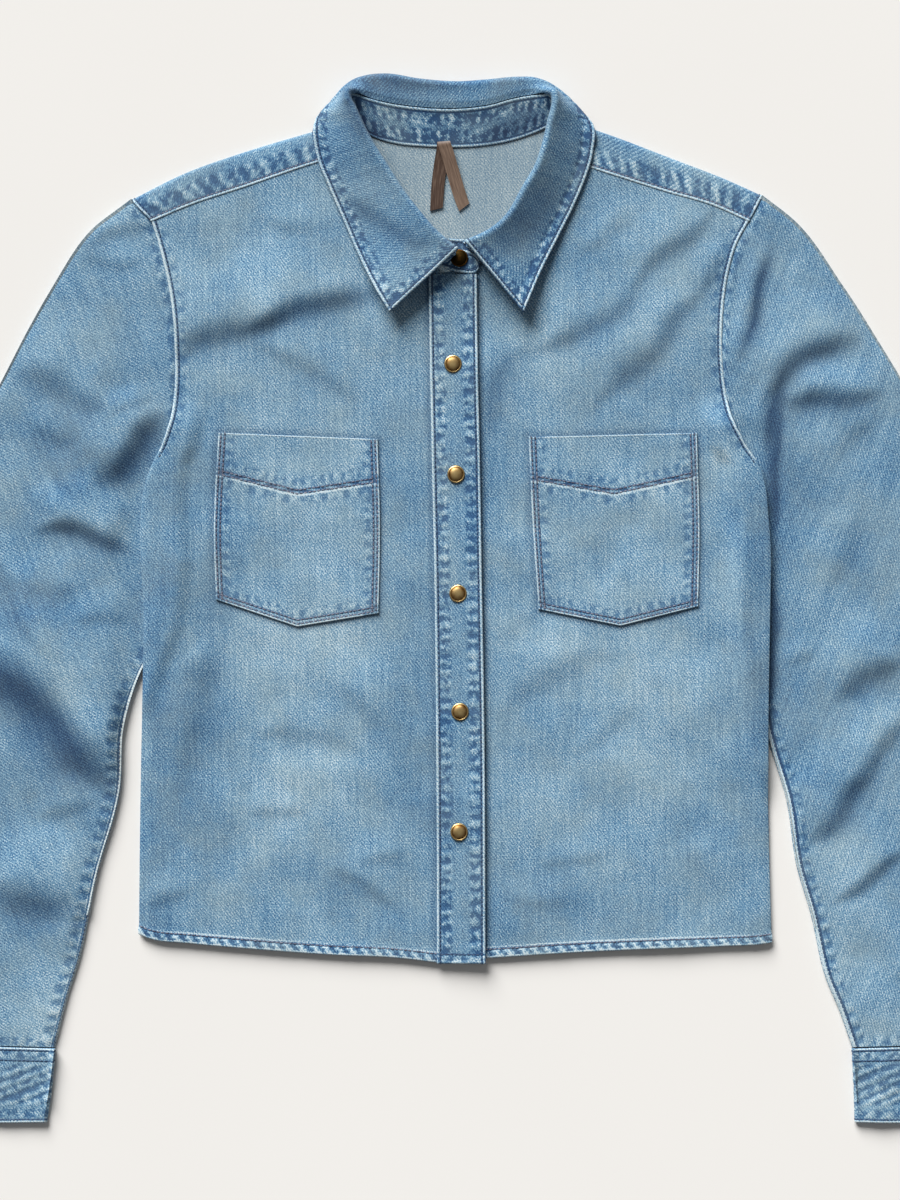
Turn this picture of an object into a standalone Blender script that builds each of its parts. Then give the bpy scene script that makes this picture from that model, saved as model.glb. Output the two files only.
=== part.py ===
"""A denim shirt, snapped up and laid flat on its back, with its sleeves beside it.

World frame: +X is to the right of someone who looks down at the shirt, +Y is towards the collar,
+Z is up, and the shirt lies on Z = 0. "Right" in a name is the wearer's right, which is at -X.
All sizes and tables are in millimetres, and the meshes are made in metres.

Each piece of cloth is a wall: a grid of points on its inner face, the same grid on its outer face,
and a rim where the cloth ends. One height function shapes all the upper cloth, so that pieces that
meet at a seam meet at one height.
"""

from collections import namedtuple
import math

import bmesh
import bpy
import numpy as np

MM = 0.001

# Cloth and spacing
CLOTH = 1.2  # one layer of washed denim with its nap
BAND = 2.0  # a doubled piece: placket, collar, stand, cuff
RIBBON = 1.0  # the neck label
GAP = 0.3  # between one piece and the next
SEAM = 0.45  # the same at a seam line, with room for the facets of a curved edge
UNDER_SEAM = 1.4  # and below, where the sleeve has fewer cells than the back
LOFT = 1.6  # how far the upper cloth stands off the lower one, away from its folded edges
EDGE_ROLL = 12.0  # width over which that loft falls to nothing at a folded edge
UNDER = CLOTH + GAP  # underside of the upper cloth where it is pressed flat
HEM_DEPTH = 8.0
HEM_TURN = 0.8  # cloth that the turned hem adds on the inside

# Where the body lies on the sleeves
TUCK_LIFT = 3.2  # two layers of sleeve and a gap
TUCK_RAMP = 14.0  # width over which the body comes down beside the sleeve
TUCK_ENDS = {-1: (-95.0, -62.0, 120.0, 146.0), 1: (-150.0, -112.0, 120.0, 146.0)}
TUCKED = {  # edge of the sleeve below the body: height, and where the lift starts to fall
    -1: ((-95.0, -226.0), (-62.0, -218.0), (-17.5, -201.0), (28.0, -196.0), (66.0, -199.0),
         (95.0, -197.0), (107.0, -191.0), (118.0, -188.0), (150.0, -184.0)),
    1: ((-150.0, 226.0), (-112.0, 216.0), (-42.0, 204.0), (7.0, 200.0), (56.0, 202.0),
        (95.0, 196.0), (107.0, 188.0), (118.0, 184.0), (150.0, 175.0)),
}
PRESS_START, PRESS_END = 2.0, 26.0  # outside the side edge, how far the sleeve stays pressed

BACK_SEAM_Y = 226.0  # yoke to back
YOKE_ROW_Y = 246.0  # a row of the yoke's end, and of the fronts beside it
NECK_HALF = 60.0  # where the yoke's neck columns start on the back seam
HEM_BACK_RISE = 1.5
PLACKET_LAP = 8.0  # how far the right front reaches under the placket
POCKET_CALM, PLACKET_CALM, COLLAR_CALM = 16.0, 16.0, 18.0  # widths over which folds die away
CALM_FLAT = 12.0  # and how far out the cloth stays smooth
SNAP_RADIUS = 6.15
SNAP_RIM = 1.0  # height of a cap's rim
SNAP_SEGMENTS = 12
CUFF_SNAP_INSET = 24.0
FAR = 2000.0  # out past every edge: tells an edge's outer side from its inner one

# Grid sizes: cells across and along
FRONT_COLUMNS = 14
BACK_COLUMNS = (0.0, 0.03, 0.06, 0.08, 0.1, 0.3, 0.5, 0.7, 0.9, 0.92, 0.94, 0.97, 1.0)
BODY_STOPS = (-206.0, -100.0, 0.0, 107.0, 226.0)  # heights with a row of their own
ROW_PITCH = 17.0
LEVEL_ROWS = 165.0  # below this the rows of a front are level
SLEEVE_BELOW = 6  # cells across the lower layer; the upper one follows the rows of the fronts
SLEEVE_ALONG = 21
CUFF_CELLS = 6
SHOULDER_COLUMNS, NECK_COLUMNS = 7, 8
YOKE_BELOW, YOKE_ABOVE = (0.0, 0.4, 0.75, 1.0), (0.0, 0.45, 1.0)  # rows of its two layers
PLACKET_CELLS, POCKET_CELLS = (3, 12), (6, 4)
FOLD_ANGLES = (-45.0, 0.0, 45.0)
STRAIGHT_POINTS = 9  # points of a straight edge
CREASE_CHORDS = 12
CREASE_ENDS = 0.3  # share of a crease's length over which each end dies away

At = namedtuple("At", "x y")
PLACKET_ZONE = (At(-24.0, -260.0), At(26.0, 240.0))  # box round the placket
COLLAR_ZONE = At(104.0, 190.0)  # half width and lowest point of the place where the collar lies
SIDE = (  # side edge of the body: height, wearer's right, wearer's left
    (-243.0, -222.3, 221.3),
    (-168.0, -221.6, 219.4),
    (-100.0, -220.5, 218.4),
    (-45.0, -219.1, 219.0),
    (5.0, -219.1, 219.9),
    (32.0, -220.8, 220.2),
    (59.0, -220.8, 218.4),
    (83.0, -217.4, 215.6),
    (95.0, -213.0, 211.6),
    (107.0, -206.5, 203.5),
)
ARMHOLE = (  # from the underarm up to the front yoke seam
    (107.0, -206.5, 203.5),
    (129.5, -199.5, 192.7),
    (147.0, -197.3, 189.0),
    (171.5, -196.9, 186.6),
    (207.0, -199.2, 187.6),
    (228.5, -203.1, 190.6),
    (250.0, -208.6, 196.8),
    (265.8, -213.5, 205.4),
)
HEM = {  # lower edge, from the side to the placket
    -1: (At(-222.3, -233.8), At(-215.0, -236.6), At(-186.2, -240.1), At(-144.0, -243.9),
         At(-88.0, -248.0), At(-39.0, -250.4), At(-13.5, -253.5)),
    1: (At(221.3, -239.6), At(214.0, -240.6), At(184.8, -242.2), At(128.8, -244.3),
        At(72.8, -247.1), At(25.1, -250.2), At(-4.0, -251.6)),
}
PLACKET = (  # height, left edge, right edge
    (228.0, -19.4, 14.8),
    (170.0, -18.5, 15.4),
    (97.0, -17.1, 17.0),
    (28.0, -15.6, 18.1),
    (-112.0, -14.0, 20.3),
    (-254.0, -13.5, 20.8),
)
NECKLINE = {  # of the fronts, from the yoke to the placket
    -1: (At(-80.0, 312.0), At(-71.5, 290.0), At(-59.0, 271.0), At(-46.0, 256.5), At(-28.5, 242.8),
         At(-12.0, 232.5), At(-11.0, 232.0)),
    1: (At(79.5, 308.5), At(72.0, 290.5), At(62.5, 276.0), At(51.5, 262.5), At(39.0, 249.5),
        At(25.0, 237.5), At(-9.0, 229.5)),
}
BACK_NECK = (  # from the wearer's right neck point to the left one
    At(-76.0, 335.5), At(-66.0, 328.0), At(-52.0, 321.8), At(-38.0, 319.3), At(-16.0, 317.2),
    At(5.0, 317.2), At(26.6, 319.3), At(45.0, 323.2), At(60.0, 328.6), At(76.0, 336.5),
)
Shoulder = namedtuple("Shoulder", "fold seam")
SHOULDER = {  # shoulder fold and front yoke seam, from the armhole to the neck
    -1: (
        Shoulder(At(-227.5, 280.7), At(-213.5, 265.8)),
        Shoulder(At(-190.0, 299.3), At(-182.0, 278.8)),
        Shoulder(At(-149.0, 313.9), At(-149.0, 289.5)),
        Shoulder(At(-101.0, 328.3), At(-100.0, 306.3)),
        Shoulder(At(-76.0, 335.5), At(-80.0, 312.0)),
    ),
    1: (
        Shoulder(At(214.9, 283.5), At(205.4, 265.8)),
        Shoulder(At(190.0, 294.7), At(182.0, 276.2)),
        Shoulder(At(150.0, 310.2), At(148.0, 286.3)),
        Shoulder(At(101.0, 328.6), At(100.0, 301.6)),
        Shoulder(At(76.0, 336.5), At(79.5, 308.5)),
    ),
}
Section = namedtuple("Section", "outer inner")
SLEEVE = {  # outer edge from the shoulder to the cuff, inner edge from below the body
    -1: (
        Section(At(-227.5, 280.7), At(-200.0, 28.0)),
        Section(At(-256.9, 257.5), At(-201.0, 5.0)),
        Section(At(-283.5, 218.0), At(-205.5, -17.5)),
        Section(At(-319.2, 152.0), At(-212.0, -34.0)),
        Section(At(-350.0, 91.0), At(-220.5, -50.4)),
        Section(At(-375.0, 28.0), At(-232.7, -87.5)),
        Section(At(-391.3, -41.7), At(-235.5, -134.0)),
        Section(At(-401.8, -111.6), At(-251.3, -191.8)),
        Section(At(-406.0, -181.7), At(-264.2, -252.7)),
        Section(At(-404.6, -244.7), At(-272.1, -277.9)),
        Section(At(-396.0, -309.6), At(-281.0, -313.0)),
    ),
    1: (
        Section(At(214.9, 283.5), At(203.5, 7.0)),
        Section(At(240.1, 263.0), At(205.0, -18.0)),
        Section(At(270.2, 221.5), At(208.0, -42.0)),
        Section(At(310.8, 157.0), At(213.0, -70.0)),
        Section(At(350.0, 88.0), At(219.1, -98.0)),
        Section(At(375.0, 28.0), At(231.2, -138.6)),
        Section(At(391.3, -41.7), At(239.0, -187.6)),
        Section(At(401.8, -111.6), At(247.8, -217.0)),
        Section(At(406.0, -181.7), At(259.7, -266.4)),
        Section(At(404.6, -244.7), At(268.0, -286.0)),
        Section(At(396.0, -309.6), At(277.5, -313.0)),
    ),
}
SLEEVE_UNDERARM = {-1: (At(-203.0, 66.0),), 1: (At(206.0, 56.0),)}  # inner edge below the body
CUFF = {  # outer and inner edge, from the sleeve to the opening
    -1: (
        Section(At(-394.0, -310.1), At(-280.7, -313.6)),
        Section(At(-395.0, -340.0), At(-283.0, -341.0)),
        Section(At(-394.8, -366.6), At(-286.5, -365.8)),
    ),
    1: (
        Section(At(394.0, -310.1), At(277.2, -313.6)),
        Section(At(395.0, -340.0), At(278.4, -341.0)),
        Section(At(394.8, -367.4), At(279.3, -365.6)),
    ),
}
Pocket = namedtuple("Pocket", "top_left top_right right_mid low_right point low_left left_mid")
POCKET = {
    -1: Pocket(At(-166.4, 117.6), At(-54.6, 113.0), At(-52.9, 51.1), At(-54.0, -9.1),
               At(-111.0, -18.5), At(-168.0, 0.5), At(-169.6, 50.0)),
    1: Pocket(At(50.6, 114.5), At(168.7, 117.4), At(170.6, 45.0), At(169.5, -4.2),
              At(115.1, -17.9), At(57.6, -6.3), At(53.6, 50.0)),
}
SNAPS = (At(-2.1, 165.4), At(0.0, 88.2), At(1.4, 4.9), At(2.8, -77.7), At(2.1, -161.7))
STAND_SNAP = At(2.3, 239.3)
Step = namedtuple("Step", "inset rise")
SNAP_STEPS = (Step(0.8, 0.4), Step(1.2, 0.0), Step(2.0, 0.9))  # bevel, ledge and dome of a cap

Collar = namedtuple("Collar", "seam seam_z top top_z turn edge edge_z under")
COLLAR = (  # stations from the wearer's right front corner round the back to the left one:
    # neck seam and its height, top of the stand and its height, how far the leaf turns over there,
    # outer silhouette of the leaf and its height, and the length of leaf folded behind it (below
    # 1 it only turns down)
    Collar(At(-13.0, 235.4), 5.6, At(-4.2, 247.8), 9.0, 180, At(-46.3, 200.2), 5.8, 0),
    Collar(At(-27.2, 244.6), 5.2, At(-14.5, 254.1), 9.2, 180, At(-56.0, 216.5), 5.8, 0),
    Collar(At(-44.4, 258.2), 4.6, At(-26.2, 267.2), 9.2, 180, At(-68.0, 240.5), 5.8, 0),
    Collar(At(-57.2, 272.4), 4.3, At(-37.9, 282.5), 9.2, 180, At(-79.0, 266.0), 5.8, 0),
    Collar(At(-69.3, 290.9), 4.3, At(-50.5, 302.0), 9.2, 180, At(-89.3, 289.5), 5.8, 0),
    Collar(At(-77.2, 311.2), 4.3, At(-62.1, 320.7), 9.3, 180, At(-98.0, 312.5), 5.8, 0),
    Collar(At(-76.7, 320.0), 4.2, At(-68.6, 333.5), 9.4, 180, At(-100.0, 329.8), 5.8, 0),
    Collar(At(-75.0, 330.0), 3.8, At(-72.8, 343.0), 9.4, 175, At(-95.8, 340.4), 5.2, 0.5),
    Collar(At(-73.8, 336.6), 3.0, At(-75.4, 349.4), 9.2, 150, At(-87.5, 350.0), 5.0, 4),
    Collar(At(-71.0, 334.4), 2.0, At(-73.4, 353.8), 8.4, 100, At(-79.4, 359.6), 5.2, 8),
    Collar(At(-64.6, 329.8), 1.5, At(-69.0, 353.8), 7.2, 50, At(-72.6, 364.6), 5.8, 9),
    Collar(At(-56.3, 325.4), 1.2, At(-62.0, 351.6), 6.4, 0, At(-64.0, 367.6), 6.4, 15),
    Collar(At(-44.0, 321.9), 1.2, At(-50.0, 348.4), 6.0, 0, At(-50.5, 369.0), 6.6, 20),
    Collar(At(-23.0, 319.6), 1.2, At(-25.0, 344.8), 6.0, 0, At(-25.5, 365.4), 6.6, 22),
    Collar(At(0.0, 318.9), 1.2, At(0.0, 343.9), 6.0, 0, At(0.0, 363.5), 6.6, 22),
    Collar(At(20.0, 320.2), 1.2, At(22.0, 346.2), 6.0, 0, At(22.5, 364.9), 6.6, 20),
    Collar(At(38.0, 323.4), 1.2, At(42.0, 351.4), 6.0, 0, At(43.0, 366.7), 6.6, 16),
    Collar(At(49.4, 326.9), 1.2, At(53.6, 353.2), 6.4, 0, At(55.5, 366.2), 6.2, 12),
    Collar(At(58.2, 330.4), 1.5, At(60.6, 353.8), 7.2, 50, At(64.6, 363.2), 5.8, 8),
    Collar(At(69.6, 335.8), 2.0, At(65.6, 353.4), 8.4, 100, At(72.0, 358.6), 5.2, 7),
    Collar(At(73.8, 337.8), 3.0, At(69.2, 348.6), 9.2, 150, At(82.0, 349.6), 5.0, 4),
    Collar(At(74.8, 331.0), 3.8, At(69.0, 342.0), 9.4, 175, At(91.0, 339.4), 5.2, 0.5),
    Collar(At(75.9, 321.4), 4.2, At(66.9, 334.0), 9.4, 180, At(96.8, 330.4), 5.8, 0),
    Collar(At(77.0, 310.0), 4.3, At(64.4, 322.2), 9.3, 180, At(96.0, 314.0), 5.8, 0),
    Collar(At(70.0, 291.8), 4.3, At(58.0, 302.3), 9.2, 180, At(90.5, 294.5), 5.8, 0),
    Collar(At(60.7, 277.5), 4.3, At(49.2, 287.0), 9.2, 180, At(82.0, 274.5), 5.8, 0),
    Collar(At(49.8, 264.2), 4.6, At(38.9, 268.8), 9.2, 180, At(72.5, 255.5), 5.8, 0),
    Collar(At(37.4, 251.4), 5.2, At(26.5, 256.8), 9.2, 180, At(60.0, 230.5), 5.8, 0),
    Collar(At(25.5, 241.6), 5.6, At(10.6, 250.9), 9.0, 180, At(47.2, 200.2), 5.8, 0),
)
TAB = (  # the stand's front tab, past the wearer's right corner: lower and upper edge
    Section(At(16.6, 232.6), At(16.6, 237.0)),
    Section(At(13.5, 229.2), At(14.0, 241.6)),
    Section(At(4.0, 229.9), At(5.0, 246.2)),
    Section(At(-5.5, 232.2), At(-0.6, 246.9)),
)
TAB_Z = 5.6
LEAF_CURL = 2.0  # radius to the middle of the leaf where it turns over the stand
LEAF_START = 0.5  # where the leaf starts above the stand, level with it
LEAF_STEP = 1.2  # and how much further where it stands up
LEAF_POINT = 8.0  # level part of the leaf at its outer edge, in four cells
LEAF_RISE = At(4.0, 0.5)  # where the leaf doesn't turn over, its first stretch

Tail = namedtuple("Tail", "x y z tilt")
LABEL = (  # the folded ribbon: centre line up the left tail, over and down the right one, and the
    # tilt of its width from level in degrees
    Tail(-12.6, 273.5, 2.1, -4),
    Tail(-11.0, 296.0, 2.1, -4),
    Tail(-9.4, 313.0, 2.1, -2),
    Tail(-9.1, 315.6, 2.3, 1),
    Tail(-8.9, 316.4, 3.0, 4),
    Tail(-8.6, 315.6, 3.7, 7),
    Tail(-8.0, 313.0, 3.9, 10),
    Tail(-3.4, 298.0, 3.6, 17),
    Tail(1.2, 286.0, 2.6, 19),
    Tail(5.2, 276.5, 2.1, 20),
)
LABEL_WIDTH = 10.0

Fold = namedtuple("Fold", "on start mid end left right height")
FOLDS = (  # creases: a bent line, the half width on its left and right side, and the height
    Fold("body", At(-192, 198), At(-135, 221), At(-58, 232), 38, 16, 3.2),
    Fold("body", At(-151, 182), At(-109, 172), At(-74, 147), 12, 12, -1.2),
    Fold("body", At(-184, 66), At(-190, -40), At(-201, -135), 14, 20, 1.8),
    Fold("body", At(-152, -28), At(-84, -58), At(-30, -138), 16, 16, -1.4),
    Fold("body", At(-146, -142), At(-109, -80), At(-66, -128), 16, 20, 2.2),
    Fold("body", At(-152, -168), At(-110, -118), At(-76, -158), 12, 12, -1.2),
    Fold("body", At(-84, -196), At(-60, -204), At(-34, -220), 9, 9, -1.2),
    Fold("body", At(-186, -172), At(-192, -190), At(-182, -212), 10, 12, -1.0),
    Fold("body", At(26, 166), At(86, 186), At(166, 266), 22, 14, 2.8),
    Fold("body", At(98, 142), At(134, 178), At(184, 250), 17, 13, 2.4),
    Fold("body", At(22, -78), At(62, -38), At(128, -26), 18, 14, 1.8),
    Fold("body", At(50, -116), At(96, -88), At(138, -52), 15, 13, 1.6),
    Fold("body", At(36, -206), At(70, -186), At(98, -152), 15, 13, 1.6),
    Fold("body", At(160, -204), At(178, -196), At(190, -172), 12, 12, -1.0),
    Fold("sleeve", At(-268, 236), At(-238, 240), At(-212, 236), 14, 18, 1.6),
    Fold("sleeve", At(-304, 170), At(-272, 160), At(-236, 146), 20, 12, 2.6),
    Fold("sleeve", At(-250, 92), At(-228, 108), At(-211, 132), 14, 9, 3.4),
    Fold("sleeve", At(-284, 60), At(-252, 56), At(-224, 44), 15, 10, 2.4),
    Fold("sleeve", At(-322, -16), At(-276, -66), At(-236, -122), 22, 12, 3.2),
    Fold("sleeve", At(-330, -182), At(-296, -184), At(-262, -206), 18, 12, 2.6),
    Fold("sleeve", At(-384, 22), At(-352, 30), At(-318, 12), 16, 14, 2.2),
    Fold("sleeve", At(-398, -120), At(-366, -110), At(-336, -130), 18, 14, 2.4),
    Fold("sleeve", At(-396, -262), At(-350, -254), At(-300, -272), 16, 14, 2.0),
    Fold("sleeve", At(212, 236), At(203, 200), At(196, 146), 12, 8, 1.6),
    Fold("sleeve", At(292, 186), At(246, 184), At(216, 160), 9, 16, 2.8),
    Fold("sleeve", At(214, 150), At(214, 116), At(224, 84), 8, 8, -2.0),
    Fold("sleeve", At(236, 148), At(266, 156), At(300, 152), 12, 10, 2.2),
    Fold("sleeve", At(240, 118), At(252, 36), At(246, -48), 22, 18, 2.6),
    Fold("sleeve", At(254, -60), At(284, -52), At(318, -28), 15, 12, 2.0),
    Fold("sleeve", At(232, -142), At(276, -122), At(322, -72), 17, 13, 3.0),
    Fold("sleeve", At(246, -194), At(284, -176), At(330, -140), 15, 12, 2.4),
    Fold("sleeve", At(330, 60), At(352, 44), At(376, 40), 16, 14, 2.2),
    Fold("sleeve", At(338, -206), At(364, -190), At(398, -196), 16, 14, 2.4),
    Fold("sleeve", At(300, -262), At(340, -254), At(392, -268), 15, 13, 2.0),
)

Finish = namedtuple("Finish", "colour roughness metallic")
DENIM = Finish((0.20, 0.34, 0.44), 0.9, 0.0)
DEEP_DENIM = Finish((0.13, 0.25, 0.38), 0.9, 0.0)
SATIN = Finish((0.14, 0.09, 0.06), 0.5, 0.0)
BRASS = Finish((0.55, 0.38, 0.15), 0.35, 1.0)


# Curves in plan


def smooth(points, chords=8):
    """A smooth polyline through the points, with that many chords from one to the next."""
    points = np.array(points, float)
    knots = np.r_[0.0, np.cumsum(np.linalg.norm(np.diff(points, axis=0), axis=1))]
    slopes = np.gradient(points, knots, axis=0)
    line = [points[:1]]
    share = np.linspace(0, 1, chords + 1)[1:, None]
    for i, width in enumerate(np.diff(knots)):
        first, last = points[i], points[i + 1]
        line.append(
            first * (2 * share**3 - 3 * share**2 + 1)
            + last * (3 * share**2 - 2 * share**3)
            + slopes[i] * width * (share**3 - 2 * share**2 + share)
            + slopes[i + 1] * width * (share**3 - share**2)
        )
    return np.vstack(line)


def straight(first, last):
    """A straight polyline."""
    return np.linspace(first, last, STRAIGHT_POINTS)


def join(first, second):
    """Two polylines end to end, where the second starts at the end of the first."""
    return np.vstack([first, second[1:]])


def travelled(line):
    """Share of a polyline's length at each of its points."""
    lengths = np.r_[0.0, np.cumsum(np.linalg.norm(np.diff(line, axis=0), axis=1))]
    return lengths / lengths[-1]


def read(line, shares):
    """Points of a polyline at these shares of its length."""
    known = travelled(line)
    return np.stack([np.interp(shares, known, column) for column in line.T], axis=-1)


def nearest(points, line):
    """For each point: distance to the polyline, share along it, and +1 on its left side."""
    starts, steps = line[:-1], np.diff(line, axis=0)
    offsets = points[..., None, :] - starts
    share = np.clip((offsets * steps).sum(-1) / np.maximum((steps**2).sum(-1), 1e-12), 0, 1)
    away = offsets - share[..., None] * steps
    distances = np.linalg.norm(away, axis=-1)
    best = distances.argmin(-1)[..., None]
    known = travelled(line)
    along = known[:-1] + share * np.diff(known)
    side = np.sign(steps[:, 0] * away[..., 1] - steps[:, 1] * away[..., 0])
    return tuple(np.take_along_axis(a, best, -1)[..., 0] for a in (distances, along, side))


def ramp(value, low, high):
    """0 below low, 1 above high, and smooth between them."""
    t = np.clip((value - low) / (high - low), 0, 1)
    return t * t * (3 - 2 * t)


def side_line(side):
    return smooth([(row[1 if side < 0 else 2], row[0]) for row in SIDE])


def armhole_line(side):
    return smooth([(row[1 if side < 0 else 2], row[0]) for row in ARMHOLE])


def shoulder_line(side, edge):
    return smooth([getattr(row, edge) for row in SHOULDER[side]])


def placket_line(edge):
    return smooth([(row[edge], row[0]) for row in PLACKET[::-1]])


# Heights


def tuck(plan):
    """How far the body is lifted where it lies on a sleeve."""
    x, y = plan[..., 0], plan[..., 1]
    lift = np.zeros(x.shape)
    for side, (low, full_low, full_high, high) in TUCK_ENDS.items():
        edge = np.array(TUCKED[side])
        inside = (np.interp(y, edge[:, 0], edge[:, 1]) - x) * side
        reach = ramp(y, low, full_low) * (1 - ramp(y, full_high, high))
        lift += TUCK_LIFT * reach * (1 - ramp(inside, 0.0, TUCK_RAMP))
    return lift


def pressed(plan, side):
    """1 on a sleeve in the open, 0 where the body lies on it."""
    edge = side_line(side)
    away, _, turn = nearest(plan, edge[edge[:, 1] > TUCK_ENDS[side][0]])
    return np.where(turn * side < 0, ramp(away, PRESS_START, PRESS_END), 0.0)


def at_folded_edges(plan, edges):
    """0 at the folded edges of the cloth, 1 from EDGE_ROLL inside them."""
    away = np.min([nearest(plan, edge)[0] for edge in edges], axis=0)
    return ramp(away, 0.0, EDGE_ROLL)


def inside_box(plan, low, high, margin):
    """1 inside an upright box, 0 from a margin outside it."""
    outside = np.maximum(np.array(low) - plan, plan - np.array(high)).max(-1)
    return 1 - ramp(outside, CALM_FLAT, CALM_FLAT + margin)


def calm(plan):
    """0 under the pockets, placket and collar, where the cloth lies smooth, 1 in the open."""
    still = [inside_box(plan, *PLACKET_ZONE, PLACKET_CALM)]
    for pocket in POCKET.values():
        corners = np.array(pocket)
        still.append(inside_box(plan, corners.min(0), corners.max(0), POCKET_CALM))
    for half in (COLLAR[: len(COLLAR) // 2], COLLAR[len(COLLAR) // 2 :]):
        leaf = np.array([row.edge for row in half if not row.under])
        away, _, turn = nearest(plan, smooth(leaf))
        inside = turn < 0 if leaf[0, 1] < leaf[-1, 1] else turn > 0
        close = (plan[..., 1] > COLLAR_ZONE.y) & (np.abs(plan[..., 0]) < COLLAR_ZONE.x) & ~inside
        still.append(np.where(close, 1.0, 1 - ramp(away, CALM_FLAT, CALM_FLAT + COLLAR_CALM)))
    return 1 - np.max(still, axis=0)


def creases(plan, on):
    """Sum of the folds of one part of the shirt."""
    total = np.zeros(plan.shape[:-1])
    share = np.linspace(0, 1, CREASE_CHORDS + 1)[:, None]
    for fold in (fold for fold in FOLDS if fold.on == on):
        a, b, c = (np.array(p, float) for p in (fold.start, fold.mid, fold.end))
        control = 2 * b - (a + c) / 2
        line = a * (1 - share) ** 2 + 2 * control * share * (1 - share) + c * share**2
        away, along, turn = nearest(plan, line)
        width = np.where(turn > 0, fold.left, fold.right)
        ends = ramp(np.minimum(along, 1 - along), 0.0, CREASE_ENDS)
        total += fold.height * ends * (1 - ramp(away / width, 0.0, 1.0))
    return total


def body_loft(plan):
    """Height of the upper cloth of the body above its pressed place."""
    edges = [side_line(side) for side in (-1, 1)]
    edges += [shoulder_line(side, "fold") for side in (-1, 1)]
    loft = np.maximum(LOFT + calm(plan) * creases(plan, "body"), 0)
    return loft * at_folded_edges(plan, edges)


def sleeve_loft(plan, side):
    """Height of the upper cloth of a sleeve above its pressed place."""
    edges = [smooth([getattr(row, name) for row in SLEEVE[side]]) for name in Section._fields]
    loft = np.maximum(LOFT + creases(plan, "sleeve") + creases(plan, "body"), 0)
    return loft * at_folded_edges(plan, edges) * pressed(plan, side)


# Walls


def patch(left, right, bottom, top, across, up):
    """Coons patch: plan points of a panel with four curved edges, as rows from bottom to top."""
    across, up = np.asarray(across)[None, :, None], np.asarray(up)[:, None, None]
    left, right = left[:, None], right[:, None]
    bottom, top = bottom[None], top[None]
    sides = (1 - across) * left + across * right
    ends = (1 - up) * bottom + up * top
    corners = (1 - up) * ((1 - across) * bottom[:, :1] + across * bottom[:, -1:])
    return sides + ends - corners - up * ((1 - across) * top[:, :1] + across * top[:, -1:])


def lifted(plan, height):
    """Plan points with a height."""
    return np.concatenate([plan, np.broadcast_to(height, plan.shape[:-1])[..., None]], axis=-1)


def grid_quads(rows, columns, ring=False):
    """Cells of a grid of points, rows first; a ring closes each row on itself."""
    across = columns if ring else columns - 1
    return [
        (r * columns + c, r * columns + (c + 1) % columns,
         (r + 1) * columns + (c + 1) % columns, (r + 1) * columns + c)
        for r in range(rows - 1)
        for c in range(across)
    ]


def add_wall(name, inner, outer, quads, material):
    """One closed wall of cloth: quads face out on the outer points, and rims close its edges."""
    inner, outer = inner.reshape(-1, 3), outer.reshape(-1, 3)
    count = len(outer)
    directed = {(q[i], q[(i + 1) % 4]) for q in quads for i in range(4)}
    halves = []
    for a, b, c, d in quads:  # each cell is split along its more level diagonal, on both faces
        if abs(outer[a, 2] - outer[c, 2]) > abs(outer[b, 2] - outer[d, 2]):
            a, b, c, d = b, c, d, a
        halves += [(a, b, c), (a, c, d)]
    faces = halves + [tuple(i + count for i in half[::-1]) for half in halves]
    faces += [
        (b, a, a + count, b + count) for a, b in sorted(directed) if (b, a) not in directed
    ]
    mesh = bpy.data.meshes.new(name)
    mesh.from_pydata((np.vstack([outer, inner]) * MM).tolist(), [], faces)
    mesh.shade_smooth()
    mesh.set_sharp_from_angle(angle=math.radians(50))
    return add_object(name, mesh, material)


def add_object(name, mesh, material):
    obj = bpy.data.objects.new(name, mesh)
    bpy.context.scene.collection.objects.link(obj)
    if not mesh.materials:
        mesh.materials.append(material)
    return obj


def make_material(name, finish):
    material = bpy.data.materials.new(name)
    material.use_nodes = True
    shader = material.node_tree.nodes["Principled BSDF"]
    shader.inputs["Base Color"].default_value = (*finish.colour, 1.0)
    shader.inputs["Roughness"].default_value = finish.roughness
    shader.inputs["Metallic"].default_value = finish.metallic
    return material


# Body


def body_edge(side):
    """Side edge and armhole, from the hem up."""
    return join(side_line(side), armhole_line(side))


def row_heights(side, top):
    """Heights of the rows of a front or of the back, which match over most of the body."""
    hem = HEM[side][0].y
    stops = [y for y in BODY_STOPS if y < top] + [top]
    counts = [max(1, round((b - a) / ROW_PITCH)) for a, b in zip(stops, stops[1:])]
    rows = [np.linspace(a, b, n + 1)[:-1] for a, b, n in zip(stops, stops[1:], counts)]
    return np.r_[hem, hem + HEM_DEPTH, np.concatenate(rows), stops[-1]]


def at_heights(line, heights):
    """Points of a rising polyline at these heights."""
    return np.stack([np.interp(heights, line[:, 1], line[:, 0]), heights], axis=-1)


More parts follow.
